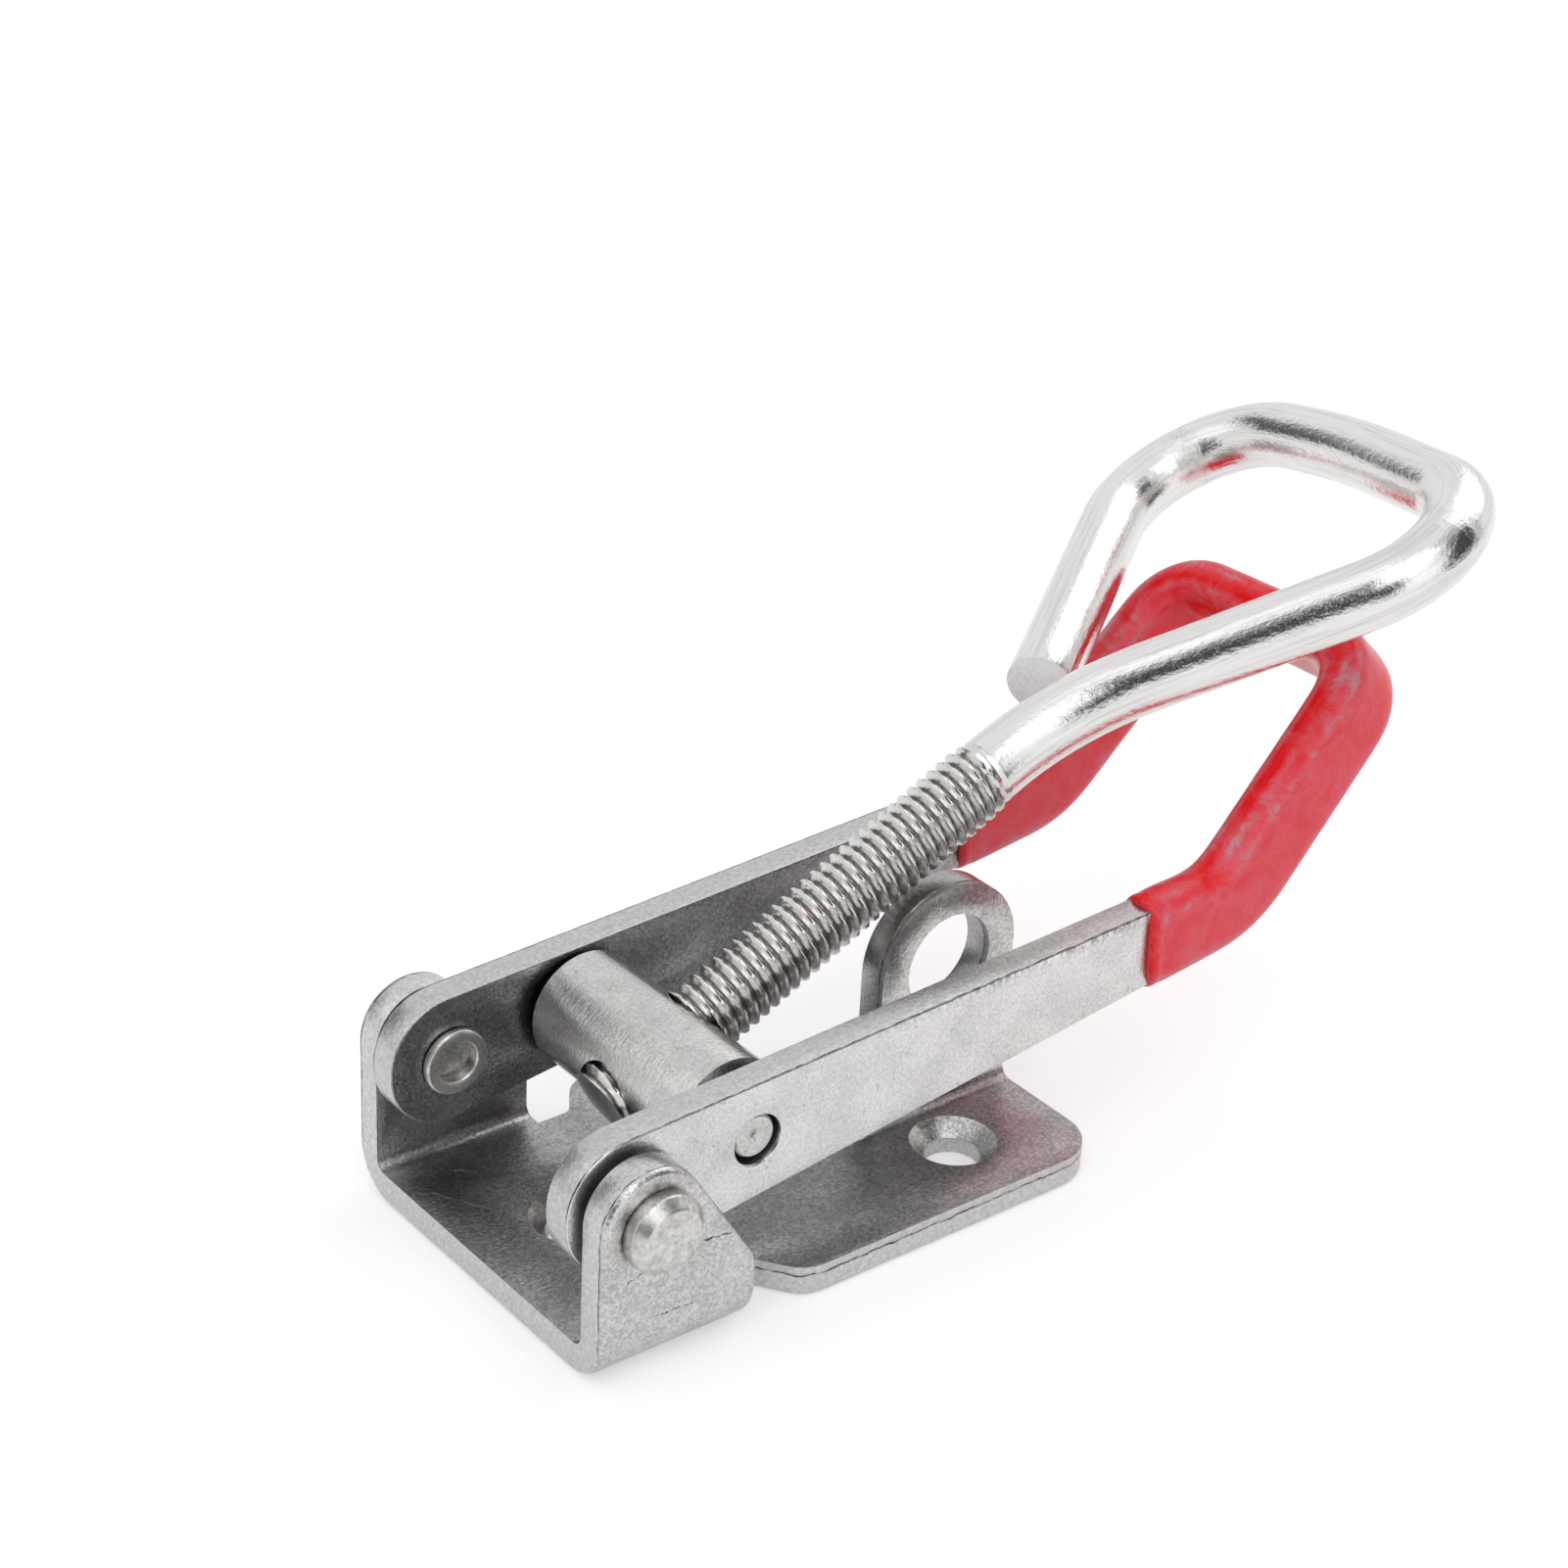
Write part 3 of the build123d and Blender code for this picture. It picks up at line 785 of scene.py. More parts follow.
@dataclass
class Base:
    """Folded sheet: plate, two ears, near wing and the ring-headed padlock tab."""

    edge: float = 0.1
    sheet_thickness: float = 2.5
    ear_inner_y: float = 13.0
    bend_top: float = 3.5
    level: float = 0.3
    floor_hole_reach: float = 5.0
    tab_from: float = 25.0
    sheet: Finish = PeenedSteel(
        "stainless_sheet_stamped_and_tumbled", light="#e1e0df", dark="#b3b2b1", lay=Lay.UPRIGHT,
        dimple_depth=0.05, rough_low=0.16, rough_high=0.26,
        scars=(Scar((4.0, -15.5, 9.6), (5.8, -15.5, 9.37)), Scar((5.8, -15.5, 9.37), (6.9, -15.5, 9.25)),
               Scar((6.9, -15.5, 9.25), (7.4, -15.5, 8.8)), Scar((-0.9, -15.5, 8.9), (-2.2, -15.5, 8.5), 0.1),
               Scar((0.2, -15.5, 4.9), (3.4, -15.5, 4.75), 0.08)),
        seep=Seep((0.3, -15.5, 12.15), 3.0))
    # Darker copy of the sheet's finish for faces inside the channel: painted shade, with a few light
    # scratches.
    painted_shade: Finish = PeenedSteel(
        "stainless_sheet_inside_painted_shade", light="#bcbbbb", dark="#8a8989", lay=Lay.ALONG_X,
        mark_share=0.6, dimple_depth=0.04, scar="#b9b8b8", scar_depth=0.3,
        scars=(Scar((-2.6, 8.2, 2.5), (-0.2, 4.0, 2.5), 0.14), Scar((0.4, 9.6, 2.5), (1.6, 8.4, 2.5), 0.1)))
    ear_cut: Finish = ShearedEdge("stainless_ear_edge_sheared", across=Across.Y, start=13.0)
    plate_cut: Finish = ShearedEdge("stainless_plate_edge_sheared", break_at=0.72, wave=0.3)
    # Darker than the ear's cut: painted shade on the tab's edges.
    tab_cut: Finish = ShearedEdge(
        "stainless_tab_edge_sheared", across=Across.Y, start=-0.5, light="#bdbcbb", torn="#a9a8a7")

    def kind_of(self, normal: Vector, centre: Vector) -> SheetFace:
        """Tells a cut edge from the sheet's open skin and from its skin inside the channel and on the tab,
        which gets painted shade.

        Args:
            normal: the face's normal.
            centre: its middle in metres.

        Returns:
            The face's kind.
        """
        ear = abs(centre.y) > (self.ear_inner_y - self.edge) * MM
        upright, across = abs(normal.z) < self.level, abs(normal.y) > self.level
        # Below the sheet's top, only the floor hole's sink looks up in the middle of the plate, and it gets
        # painted shade.
        sunk = normal.z > self.level and abs(centre.y) < self.floor_hole_reach * MM
        if centre.z < (self.sheet_thickness - self.edge) * MM:
            return SheetFace.PLATE_CUT if upright else SheetFace.PAINTED_SHADE if sunk else SheetFace.OPEN
        # Faces that look up near the plate's top, on the channel floor, the wing and the inner bend, get
        # painted shade.
        if centre.z < self.bend_top * MM and not upright:
            return SheetFace.PAINTED_SHADE if normal.z > 0 else SheetFace.OPEN
        if across:
            # Inner faces of the ears and the tab's far face get painted shade.
            outside = normal.y * centre.y > 0 if ear else normal.y < 0
            return SheetFace.OPEN if outside else SheetFace.PAINTED_SHADE
        return SheetFace.EAR_CUT if centre.x < self.tab_from * MM else SheetFace.TAB_CUT

    def build(self) -> None:
        """Rounds the sheared edges a little and dresses the sheet and its cuts."""
        mesh = merged_copy("base")
        soften(mesh, sharp_edges(mesh), self.edge)
        mesh.normal_update()
        for face in mesh.faces:
            face.material_index = self.kind_of(face.normal, face.calc_center_median())
        finishes = [self.sheet, self.ear_cut, self.plate_cut, self.tab_cut, self.painted_shade]
        show(mesh, "folded_base", "base", finishes, ["base"])


class BarFace(IntEnum):
    """Kind of a face of the handle's bar, as the number of its finish."""

    OPEN = 0
    CUT = 1
    # Inner faces, which get painted shade.
    INSIDE = 2


@dataclass
class Handle:
    """Flat bar bent to a U, with the vinyl skin dipped over its bow.

    The skin's lip stands at lip_x, where the dip's end leans, and its wear fades in over lip_clean beyond it.
    """

    edge: float = 0.12
    skin_face: float = 0.28
    skin_rounds: int = 45
    swell: float = 0.08
    level: float = 0.3
    lip_x: float = 48.3
    lip_width: float = 0.42
    lip_height: float = 0.75
    lip_clean: float = 1.1
    lean: float = 0.07
    lean_reach: float = 3.0
    middle_height: float = 14.5
    # The bar's fringe paints highlights and shade along the arms' top edges.
    bar: Finish = PeenedSteel(
        "stainless_bar_rolled_and_tumbled", light="#ebeae9", dark="#cccbca", lay=Lay.UPRIGHT, mark_size=0.3,
        mark_share=0.2, dimple_depth=0.032, fringe=Fringe((-0.051, 0.0, 0.999), 17.28))
    # Darker copy of the bar's finish for the arms' inner faces: painted shade.
    inside: Finish = PeenedSteel(
        "stainless_bar_inside_painted_shade", light="#b4b3b3", dark="#848383", dimple_depth=0.045)
    cut: Finish = ShearedEdge(
        "stainless_bar_edge_sheared", across=Across.Y, start=9.7, break_at=0.955, wave=0.03, light="#d3d2d1",
        torn="#c8c6c5")
    skin: Finish = DippedVinyl("soft_vinyl_dipped")

    def build(self) -> None:
        """Builds the bar and its grip."""
        mesh = merged_copy("handle")
        soften(mesh, sharp_edges(mesh), self.edge, segments=3)
        mesh.normal_update()
        for face in mesh.faces:
            # Faces that look in between the arms get the painted shade.
            inwards = face.normal.y * face.calc_center_median().y < 0
            cut = abs(face.normal.y) < self.level
            face.material_index = BarFace.CUT if cut else BarFace.INSIDE if inwards else BarFace.OPEN
        show(mesh, "handle_bar", "handle", [self.bar, self.cut, self.inside], ["handle"])
        show(self.dip(), "dipped_grip", "handle", [self.skin], ["grip"], smooth_below=180.0)

    def dip(self) -> BMesh:
        """Draws the plain skin's edges round and rolls a lip where the dip ends.

        Returns:
            The soft skin, in small even faces.
        """
        mesh = even_faces(merged_copy("grip"), self.skin_face)
        before = [vert.co.copy() for vert in mesh.verts]
        for _ in range(self.skin_rounds):
            bmesh.ops.smooth_vert(mesh, verts=mesh.verts, factor=0.5, use_axis_x=True, use_axis_y=True,
                                  use_axis_z=True)
        mesh.normal_update()
        rubbed, flank = mesh.verts.layers.float.new("rubbed"), mesh.verts.layers.float.new("flank")
        for vert, sharp in zip(mesh.verts, before):
            kept = min(1.0, max(0.0, (vert.co.x / MM - self.lip_x) / self.lip_clean))
            vert[rubbed] = kept * max(0.0, (sharp - vert.co).dot(vert.normal)) / MM
            # flank sets where the grip's upright sides get their painted reflection.
            vert[flank] = vert.normal.y ** 2
            away = (vert.co.x / MM - self.lip_x) / self.lip_width
            fade = max(0.0, 1.0 - abs(vert.co.x / MM - self.lip_x) / self.lean_reach)
            vert.co += vert.normal * (self.swell + self.lip_height * math.exp(-away * away)) * MM
            vert.co.x += self.lean * fade * (self.middle_height * MM - vert.co.z)
        return mesh


def even_faces(mesh: BMesh, size: float) -> BMesh:
    """Rebuilds a closed mesh from small even faces.

    Args:
        mesh: the closed mesh, freed here.
        size: width of a face in millimetres.

    Returns:
        The rebuilt mesh.
    """
    data = bpy.data.meshes.new("plain")
    mesh.to_mesh(data)
    mesh.free()
    holder = bpy.data.objects.new("plain", data)
    bpy.context.scene.collection.objects.link(holder)
    even = holder.modifiers.new("even", "REMESH")
    even.mode = "VOXEL"
    even.voxel_size = size * MM
    made = bmesh.new()
    made.from_object(holder, bpy.context.evaluated_depsgraph_get())
    bpy.data.objects.remove(holder)
    bpy.data.meshes.remove(data)
    return made


class Side(Enum):
    """Side of the latch on which a rivet sits, as the sign of Y."""

    NEAR = -1
    FAR = 1


@dataclass
class Rivet:
    """Semi-tubular rivet: a stepped head outside the ear and a rolled hollow ring inside the arm."""

    side: Side
    axis_x: float = 0.3
    axis_height: float = 12.15
    head_radius: float = 3.0
    top_radius: float = 2.27
    head_face: float = 15.5
    rim_height: float = 1.0
    head_height: float = 1.8
    shank_radius: float = 2.0
    ring_face: float = 9.6
    ring_height: float = 0.6
    ring_radius: float = 2.6
    hollow_radius: float = 1.6
    hollow_depth: float = 1.1
    bore_reach: float = 0.02
    edge: float = 0.06
    roll: float = 0.26
    roll_segments: int = 5
    steps: int = 72
    metal: Finish = PeenedSteel(
        "stainless_wire_cold_headed", light="#e4e3e1", dark="#bebbb8", cloud_size=0.8, cloud_share=0.5,
        dimple_size=0.3, dimple_depth=0.004, rough_low=0.3, rough_high=0.42)
    # Slightly darker finish for the hollow's wall and floor: painted shade.
    hollow: Finish = PeenedSteel("stainless_wire_hollow_painted_shade", light="#dcdad6", dark="#aeaba8", dimple_size=0.3)

    def build(self) -> None:
        """Spins the rivet's profile about its axis and rounds its edges."""
        top = self.head_face + self.head_height
        floor = self.ring_face - self.ring_height + self.hollow_depth
        rim = self.head_face + self.rim_height
        mouth = self.ring_face - self.ring_height
        # Extra rings close to the head's edges keep its top, cone and rim flat up to them.
        ring = 2 * self.edge
        drop = ring * (top - rim) / (self.head_radius - self.top_radius)
        profile = ((0.0, top), (self.top_radius - ring, top), (self.top_radius, top),
                   (self.top_radius + ring, top - drop), (self.head_radius - ring, rim + drop),
                   (self.head_radius, rim), (self.head_radius, rim - ring),
                   (self.head_radius, self.head_face), (self.shank_radius, self.head_face),
                   (self.shank_radius, self.ring_face), (self.ring_radius, self.ring_face),
                   (self.ring_radius, mouth), (self.hollow_radius, mouth), (self.hollow_radius, floor),
                   (0.0, floor))
        mesh = lathe(profile, self.steps)
        rolled = [e for e in sharp_edges(mesh) if e.verts[0].co.z < self.ring_face * MM]
        soften(mesh, rolled, self.roll, self.roll_segments)
        soften(mesh, sharp_edges(mesh), self.edge)
        for face in mesh.faces:
            middle = face.calc_center_median()
            bored = math.hypot(middle.x, middle.y) < (self.hollow_radius + self.bore_reach) * MM
            # The hollow's wall and floor have a slightly darker finish of their own as painted shade, and its
            # rolled mouth hasn't.
            deep = (mouth + self.roll) * MM < middle.z < (self.ring_face + self.hollow_depth) * MM
            face.material_index = int(bored and deep)
        mesh.transform(Matrix.Translation(Vector((self.axis_x, 0, self.axis_height)) * MM)
                       @ Matrix.Rotation(math.radians(-90 * self.side.value), 4, "X"))
        name = "rivet_" + self.side.name.lower()
        show(mesh, name + "_headed", "base", [self.metal, self.hollow], [name])


def lathe(profile: Iterable[tuple[float, float]], steps: int) -> BMesh:
    """Spins a profile about Z into a closed mesh.

    Args:
        profile: radius and height of each point in millimetres, from axis to axis.
        steps: steps round the full turn.

    Returns:
        The spun mesh, its seam and poles closed and its faces outwards.
    """
    mesh = bmesh.new()
    verts = [mesh.verts.new((radius * MM, 0, height * MM)) for radius, height in profile]
    edges = [mesh.edges.new(pair) for pair in zip(verts, verts[1:])]
    bmesh.ops.spin(mesh, geom=verts + edges, cent=(0, 0, 0), axis=(0, 0, 1), dvec=(0, 0, 0),
                   angle=math.tau, steps=steps, use_merge=True, use_duplicate=False)
    bmesh.ops.remove_doubles(mesh, verts=mesh.verts, dist=WELD)
    bmesh.ops.recalc_face_normals(mesh, faces=mesh.faces)
    return mesh


@dataclass
class Barrel:
    """Turned trunnion with a journal at each end, cross drilled and tapped for the hook's stem."""

    edge: float = 0.06
    journal_end: float = 11.8
    barrel_end: float = 10.0
    mark_radius: float = 0.22
    square: float = 0.99
    level: float = 0.5
    metal: Finish = PeenedSteel(
        "stainless_bar_turned", light="#dedddb", dark="#c3c1bf", lay=Lay.AROUND_Y, cloud_size=2.2,
        mark_size=0.12, mark_share=0.8, dimple_depth=0.028, rough_low=0.16, rough_high=0.24)
    # Dark tone for the trunnion's flat end faces, next to the arms: painted shade.
    faced: Finish = PeenedSteel("stainless_bar_faced_painted_shade", light="#6f6e6d", dark="#4d4c4b")

    def build(self) -> None:
        """Rounds the turned edges, sets a centre mark in each journal and dresses the trunnion."""
        mesh = merged_copy("barrel")
        soften(mesh, sharp_edges(mesh), self.edge)
        mesh.normal_update()
        ends = [f for f in mesh.faces if abs(f.calc_center_median().y) > self.journal_end * MM
                and abs(f.normal.y) > self.square]
        for end in ends:
            reach = max((v.co - end.calc_center_median()).length for v in end.verts)
            bmesh.ops.inset_individual(mesh, faces=[end], thickness=reach - self.mark_radius * MM)
            bmesh.ops.inset_individual(mesh, faces=[end], thickness=self.mark_radius * MM / 2,
                                       depth=-self.mark_radius * MM / 2)
        for face in mesh.faces:
            # Flat end faces of the trunnion get the dark painted shade.
            within = abs(face.calc_center_median().y) < self.barrel_end * MM
            face.material_index = int(abs(face.normal.y) > self.level and within)
        show(mesh, "trunnion", "barrel", [self.metal, self.faced], ["barrel"])


class RodFace(IntEnum):
    """Kind of a face of the hook bolt, as the number of its finish."""

    BAR = 0
    THREAD = 1
    STEM_END = 2
    LOOP_END = 3


@dataclass
class HookBolt:
    """Round bar with a rolled thread, bent to an open triangular loop that returns beside its apex.

    Flank is the height of the thread's full V over that of its flattened one, and merging tells how
    narrowly the place along one run of the loop changes over to the next where they meet.
    """

    barrel_x: float = 11.1
    barrel_z: float = 13.4
    stem_rise: float = 25.9
    twist: float = -15.2
    rod_radius: float = 2.65
    crest_radius: float = 2.95
    root_radius: float = 2.38
    pitch: float = 1.0
    flank: float = 1.41
    stem_start: float = -4.95
    thread_end: float = 33.8
    run_out: float = 1.6
    stem_length: float = 41.2
    near_depth: float = 28.5
    far_depth: float = 34.8
    near_half_angle: float = 41.2
    far_half_angle: float = 37.2
    apex_radius: float = 18.5
    near_radius: float = 7.5
    far_radius: float = 9.0
    crossbar_bow: float = 1.9
    crossbar_radius: float = 60.0
    return_ahead: float = 1.9
    return_beside: float = 4.7
    around: int = 48
    bend_step: float = 5.0
    run_step: float = 3.0
    start_chamfer: float = 0.25
    merging: int = 10
    cap_corners: int = 5
    cut_edge: float = 0.12
    end_angle: float = 60.0
    metal: Finish = DrawnRod("stainless_bar_bright_drawn")
    thread: Finish = RolledThread("stainless_thread_rolled")
    cut: Finish = ShearedEdge(
        "stainless_bar_end_cropped", across=Across.X, start=30.0, sheet=12.0, light="#c9c8c7")
    # The loop's cut end is white and matt, lighter than the bar: painted light in place of its bright
    # reflection.
    shear: Finish = PeenedSteel(
        "stainless_bar_end_sheared", light="#ffffff", dark="#ececeb", lay=Lay.UPRIGHT, mark_share=1.2,
        mark_size=0.3, rough_low=0.5, rough_high=0.66, metallic=0.0)

    def thread_radius(self, place: float, turn: float) -> float:
        """Gives the thread's radius at a place on the stem, fading out into the plain bar.

        Args:
            place: distance along the stem from the barrel's axis in millimetres.
            turn: angle round the stem in radians.

        Returns:
            Radius in millimetres.
        """
        phase = (place / self.pitch - turn / math.tau) % 1.0
        wave = min(1.0, max(-1.0, self.flank * (1 - 4 * abs(phase - 0.5))))
        middle = (self.crest_radius + self.root_radius) / 2
        depth = (self.crest_radius - self.root_radius) / 2
        share = min(1.0, max(0.0, (self.thread_end - place) / self.run_out))
        radius = self.rod_radius + (middle - wave * depth - self.rod_radius) * share
        return min(radius, self.crest_radius - self.start_chamfer + (place - self.stem_start))

    def threaded_stem(self) -> BMesh:
        """Screws the thread's profile round the stem and cuts both ends square.

        Returns:
            The stem along +X, its end towards the loop open and its free end closed.
        """
        mesh = bmesh.new()
        # Each turn has a point at both ends of its crest and of its root, and one on each flank.
        flat = (1 - 1 / self.flank) / 4
        phases = (flat, 0.25, 0.5 - flat, 0.5 + flat, 0.75, 1 - flat)
        first, last = math.floor(self.stem_start / self.pitch), math.ceil(self.thread_end / self.pitch)
        # Two turns more at each end leave a whole section where the ends are cut.
        turns = range(first - 2, last + 2)
        places = [(turn + phase) * self.pitch for turn in turns for phase in phases]
        verts = [mesh.verts.new((x * MM, 0, self.rod_radius * MM)) for x in places]
        edges = [mesh.edges.new(pair) for pair in zip(verts, verts[1:])]
        bmesh.ops.spin(mesh, geom=verts + edges, cent=(0, 0, 0), axis=(1, 0, 0),
                       dvec=(self.pitch * MM / self.around, 0, 0), angle=math.tau, steps=self.around)
        bmesh.ops.remove_doubles(mesh, verts=mesh.verts, dist=WELD)
        for vert in mesh.verts:
            ring = math.hypot(vert.co.y, vert.co.z)
            scale = self.thread_radius(vert.co.x / MM, math.atan2(vert.co.y, vert.co.z)) * MM / ring
            vert.co.y *= scale
            vert.co.z *= scale
        for place, side in ((self.stem_start, -1), (self.thread_end, 1)):
            bmesh.ops.bisect_plane(mesh, geom=[*mesh.verts, *mesh.edges, *mesh.faces], dist=WELD / 10,
                                   plane_co=(place * MM, 0, 0), plane_no=(side, 0, 0), clear_outer=True)
        rim = [e for e in mesh.edges if e.is_boundary and e.verts[0].co.x < 0]
        bmesh.ops.contextual_create(mesh, geom=rim)
        return mesh

    def corners(self) -> tuple[list[Vector], list[float]]:
        """Gives the loop's corners in its plane, from the thread's end to the cut end.

        Returns:
            The corners in metres, and the radius in millimetres of each bend between them.
        """
        near = math.tan(math.radians(self.near_half_angle)) * self.near_depth
        far = math.tan(math.radians(self.far_half_angle)) * self.far_depth
        near_x, far_x = self.stem_length + self.near_depth, self.stem_length + self.far_depth
        bow = ((near_x + far_x) / 2 + self.crossbar_bow, (far - near) / 2)
        flat = ((self.thread_end, 0), (self.stem_length, 0), (near_x, -near), bow, (far_x, far),
                (self.stem_length + self.return_ahead, self.return_beside))
        radii = [self.apex_radius, self.near_radius, self.crossbar_radius, self.far_radius]
        return [Vector((x, y, 0)) * MM for x, y in flat], radii

    def sweep(self, mesh: BMesh) -> None:
        """Draws the open end of the stem round the loop: straight runs are extruded, bends are spun.

        Args:
            mesh: the stem, with one open end.
        """
        points, radii = self.corners()
        rim: list[BMEdge] = [e for e in mesh.edges if e.is_boundary]
        here = points[0]
        for before, corner, after, radius in zip(points, points[1:], points[2:], radii):
            inward, outward = (corner - before).normalized(), (after - corner).normalized()
            turn = inward.angle(outward)
            hand = math.copysign(1.0, inward.cross(outward).z)
            enter = corner - inward * (radius * MM * math.tan(turn / 2))
            centre = enter + Vector((-inward.y, inward.x, 0)) * (hand * radius * MM)
            rim = self.push(mesh, rim, enter - here)
            steps = max(4, math.ceil(math.degrees(turn) / self.bend_step))
            spun = bmesh.ops.spin(mesh, geom=[*edge_verts(rim), *rim], cent=centre, axis=(0, 0, hand),
                                  dvec=(0, 0, 0), angle=turn, steps=steps)
            rim = [e for e in spun["geom_last"] if isinstance(e, BMEdge)]
            here = corner + outward * (radius * MM * math.tan(turn / 2))
        rim = self.push(mesh, rim, points[-1] - here)
        bmesh.ops.contextual_create(mesh, geom=rim)

    def push(self, mesh: BMesh, rim: list[BMEdge], run: Vector) -> list[BMEdge]:
        """Extrudes an open rim along a straight run, in lengths short enough to shade evenly.

        Args:
            mesh: mesh that holds the rim.
            rim: edges of the open end.
            run: the straight run.

        Returns:
            Edges of the new open end.
        """
        parts = max(1, round(run.length / (self.run_step * MM)))
        for _ in range(parts):
            grown = bmesh.ops.extrude_edge_only(mesh, edges=rim)["geom"]
            bmesh.ops.translate(mesh, verts=[v for v in grown if isinstance(v, BMVert)], vec=run / parts)
            rim = [e for e in grown if isinstance(e, BMEdge) and e.is_boundary]
        return rim

    def mark_places(self, mesh: BMesh) -> None:
        """Keeps each point's place along and across the bar, its depth in the thread and each face's finish.

        Args:
            mesh: the bent bar in the loop's plane.
        """
        layer = mesh.verts.layers.float_vector["rod_place"]
        depth = mesh.verts.layers.float.new("thread_depth")
        points, _ = self.corners()
        points[0] = Vector((self.stem_start * MM, 0, 0))
        starts = [0.0]
        for one, two in zip(points, points[1:]):
            starts.append(starts[-1] + (two - one).length)
        for vert in mesh.verts:
            runs = []
            for one, two, start in zip(points, points[1:], starts):
                way = (two - one).normalized()
                reach = min((two - one).length, max(0.0, (vert.co - one).dot(way)))
                runs.append(((vert.co - one - way * reach).length, start + reach))
            # Where two runs meet, the place changes over smoothly from one to the other.
            nearest = min(runs)[0]
            shares = [(nearest / away) ** self.merging for away, _ in runs]
            along = sum(share * run for share, (_, run) in zip(shares, runs)) / sum(shares)
            vert[layer] = (along / MM, vert[layer].y, vert[layer].z)
            rise = math.hypot(vert.co.y, vert.co.z) / MM - self.root_radius
            vert[depth] = min(1.0, max(0.0, rise / (self.crest_radius - self.root_radius)))
        for face in mesh.faces:
            capped = len(face.verts) >= self.cap_corners
            if face.calc_center_median().x < self.thread_end * MM:
                face.material_index = RodFace.STEM_END if capped else RodFace.THREAD
            else:
                face.material_index = RodFace.LOOP_END if capped else RodFace.BAR

    def placing(self) -> Matrix:
        """Places the loop's plane in the model's frame.

        Returns:
            The matrix from the one to the other.
        """
        rise, twist = math.radians(self.stem_rise), math.radians(self.twist)
        along = Vector((math.cos(rise), 0, math.sin(rise)))
        upright = Vector((-along.z, 0, along.x))
        across = Vector((0, math.cos(twist), 0)) + upright * math.sin(twist)
        turned = Matrix((along, across, along.cross(across))).transposed().to_4x4()
        return Matrix.Translation(Vector((self.barrel_x, 0, self.barrel_z)) * MM) @ turned

    def build(self) -> None:
        """Threads the stem, draws the loop, rounds the cut end and dresses the bar."""
        mesh = self.threaded_stem()
        # The sweep copies each point's place in the section on to all the points drawn from it.
        place = mesh.verts.layers.float_vector.new("rod_place")
        for vert in mesh.verts:
            vert[place] = vert.co / MM
        self.sweep(mesh)
        self.mark_places(mesh)
        bmesh.ops.recalc_face_normals(mesh, faces=mesh.faces)
        soften(mesh, sharp_edges(mesh, self.end_angle), self.cut_edge)
        mesh.transform(self.placing())
        finishes = [self.metal, self.thread, self.cut, self.shear]
        show(mesh, "hook_bolt", "hook", finishes, ["hook"], smooth_below=40.0)


def edge_verts(edges: Iterable[BMEdge]) -> list[BMVert]:
    """Gives the vertices of some edges, each once and in order."""
    return list(dict.fromkeys(v for e in edges for v in e.verts))


@dataclass(frozen=True)
class Card:
    """Card that stands round the latch and shows only in its polished steel.

    Its azimuth and half width are in degrees from +X towards +Y, its lower and upper end are given as the
    height of a direction of unit length, and its level is a radiance. Its sides fade over soft degrees and
    its ends over fade.
    """

    azimuth: float
    half_width: float
    low: float
    high: float
    level: float
    soft: float = 7.0
    fade: float = 0.05

    def cover(self, tree: NodeTree, flat: NodeSocket, height: NodeSocket) -> NodeSocket:
        """Gives 1 on the card and 0 beside it.

        Args:
            tree: node tree of the world.
            flat: direction in plan, of unit length.
            height: height of the full direction.

        Returns:
            The cover.
        """
        turn = math.radians(self.azimuth)
        towards = vectors(tree, "DOT_PRODUCT", flat, (math.cos(turn), math.sin(turn), 0.0), output="Value")
        outer, inner = self.half_width + self.soft, max(0.0, self.half_width - self.soft)
        sides = math.cos(math.radians(outer)), math.cos(math.radians(inner))
        wide = remap(tree, towards, sides, smooth=True)
        foot = remap(tree, height, (self.low - self.fade, self.low + self.fade), smooth=True)
        head = remap(tree, height, (self.high - self.fade, self.high + self.fade), FALLING, smooth=True)
        return maths(tree, "MULTIPLY", wide, maths(tree, "MULTIPLY", foot, head))


@dataclass(frozen=True)
class Softbox:
    """Square lamp aimed at the latch, with its centre and side in millimetres and its cloth's radiance."""

    name: str
    place: Triple
    size: float
    level: float
    aim: Triple = (30.0, 0.0, 15.0)

    def hang(self) -> None:
        """Adds the lamp to the scene."""
        lamp = bpy.data.lights.new(self.name, "AREA")
        lamp.shape = "SQUARE"
        lamp.size = self.size * MM
        lamp.energy = self.level * math.pi * (self.size * MM) ** 2
        hung = bpy.data.objects.new(self.name, lamp)
        bpy.context.scene.collection.objects.link(hung)
        hung.location = Vector(self.place) * MM
        way = Vector(self.aim) * MM - hung.location
        hung.rotation_euler = way.to_track_quat("-Z", "Y").to_euler()


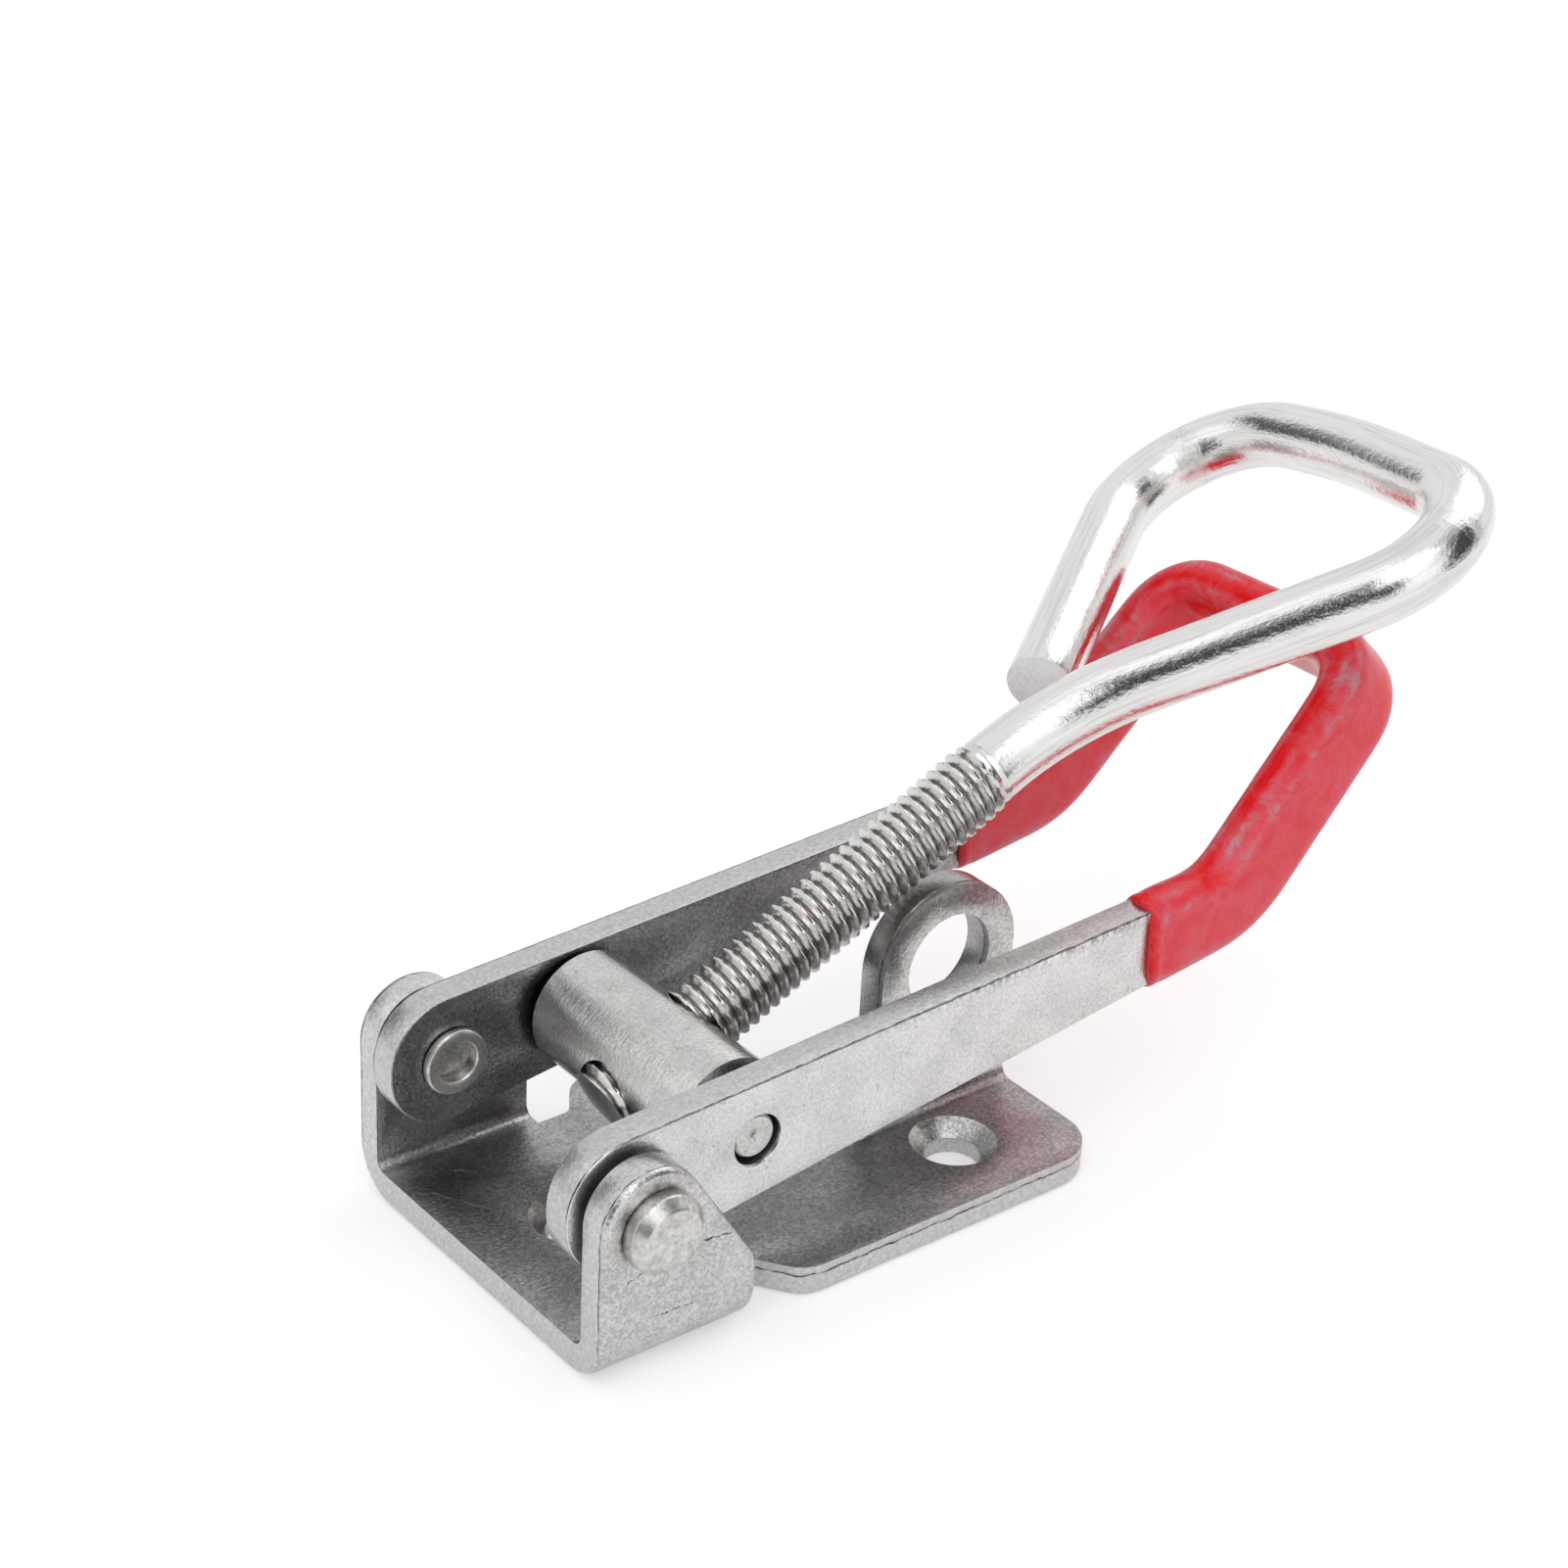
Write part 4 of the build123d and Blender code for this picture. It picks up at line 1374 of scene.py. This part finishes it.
@dataclass
class Studio:
    """Pale sweep, soft lamps, white surroundings with cards, and the camera.

    The camera's place is in millimetres, its turns are in degrees and its focal length in pixels.
    """

    place: Triple = (-108.986, -159.530, 140.247)
    azimuth: float = -39.348
    elevation: float = 27.546
    roll: float = 2.969
    image_width: float = 1601.0
    focal_pixels: float = 3355.52
    sensor: float = 36.0
    clip_start: float = 10.0
    floor_size: float = 3000.0
    floor_parts: int = 8
    floor_gap: float = 0.02
    wall_level: float = 0.86
    light_level: float = 0.75
    cards: tuple[Card, ...] = (
        Card(-99.0, 19.0, -0.4, 0.62, 1.1), Card(-50.0, 20.0, -0.4, 0.82, 0.07),
        Card(-45.0, 32.0, 0.86, 0.94, 0.35), Card(113.0, 12.0, -0.4, 0.56, 0.1),
        Card(-148.0, 28.0, -0.4, 0.74, 0.06), Card(150.0, 18.0, 0.45, 0.92, 1.2))
    lamps: tuple[Softbox, ...] = (
        Softbox("key_softbox", (-180.0, -260.0, 420.0), 420.0, 1.05),
        Softbox("back_softbox", (420.0, 60.0, 420.0), 420.0, 0.9))
    paper: Finish = PaleFloor("paper_sweep_matt_white")

    def build(self) -> None:
        """Builds the floor, the surroundings, the camera and the lamps."""
        self.add_floor()
        self.add_surroundings()
        self.add_camera()
        for lamp in self.lamps:
            lamp.hang()

    def add_floor(self) -> None:
        """Lays the paper sweep just below the base."""
        mesh = bmesh.new()
        bmesh.ops.create_grid(mesh, x_segments=self.floor_parts, y_segments=self.floor_parts,
                              size=self.floor_size * MM / 2)
        bmesh.ops.translate(mesh, verts=mesh.verts, vec=(0, 0, -self.floor_gap * MM))
        data = bpy.data.meshes.new("paper_sweep")
        mesh.to_mesh(data)
        mesh.free()
        data.materials.append(self.paper.material())
        floor = bpy.data.objects.new("paper_sweep", data)
        bpy.context.scene.collection.objects.link(floor)

    def add_surroundings(self) -> None:
        """Gives a white backdrop where it is seen, mirrored or seen through, and even light elsewhere."""
        world = bpy.data.worlds.new("studio")
        bpy.context.scene.world = world
        world.use_nodes = True
        tree = world.node_tree
        tree.nodes.clear()
        way = add_node(tree, "ShaderNodeTexCoord").outputs["Generated"]
        height = add_node(tree, "ShaderNodeSeparateXYZ", {"Vector": way}).outputs["Z"]
        flat = vectors(tree, "NORMALIZE", vectors(tree, "MULTIPLY", way, (1.0, 1.0, 0.0)))
        walls = grey(self.wall_level)
        for card in self.cards:
            walls = blend(tree, card.cover(tree, flat, height), walls, grey(card.level))
        path = add_node(tree, "ShaderNodeLightPath").outputs
        backdrop = blend(tree, path["Is Camera Ray"], walls, grey(1.0))
        seen = add_node(tree, "ShaderNodeBackground", {"Color": backdrop, "Strength": 1.0})
        light = add_node(tree, "ShaderNodeBackground", {"Color": grey(1.0), "Strength": self.light_level})
        both = add_node(tree, "ShaderNodeMixShader", {
            0: seen_rays(tree), 1: light.outputs[0], 2: seen.outputs[0]})
        add_node(tree, "ShaderNodeOutputWorld", {"Surface": both.outputs[0]})

    def add_camera(self) -> None:
        """Sets the camera at its measured place, turn and focal length."""
        azimuth, elevation, roll = (math.radians(a) for a in (self.azimuth, self.elevation, self.roll))
        back = Vector((math.sin(azimuth) * math.cos(elevation), -math.cos(azimuth) * math.cos(elevation),
                       math.sin(elevation)))
        right = (-back).cross(Vector((0, 0, 1))).normalized()
        up = right.cross(-back)
        across = right * math.cos(roll) + up * math.sin(roll)
        upward = up * math.cos(roll) - right * math.sin(roll)
        lens = bpy.data.cameras.new("camera")
        lens.sensor_width = self.sensor
        lens.lens = self.focal_pixels / self.image_width * self.sensor
        lens.clip_start = self.clip_start * MM
        camera = bpy.data.objects.new("camera", lens)
        bpy.context.scene.collection.objects.link(camera)
        turned = Matrix((across, upward, back)).transposed().to_4x4()
        camera.matrix_world = Matrix.Translation(Vector(self.place) * MM) @ turned
        bpy.context.scene.camera = camera


def main() -> None:
    """Builds and dresses each piece, then the studio."""
    logging.basicConfig(level=logging.INFO, format="%(name)s %(message)s")
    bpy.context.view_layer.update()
    for part in (Base(), Handle(), Rivet(Side.NEAR), Rivet(Side.FAR), Barrel(), HookBolt(), Studio()):
        part.build()
    bpy.context.scene.view_settings.view_transform = "Standard"


if __name__ == "__main__":
    main()
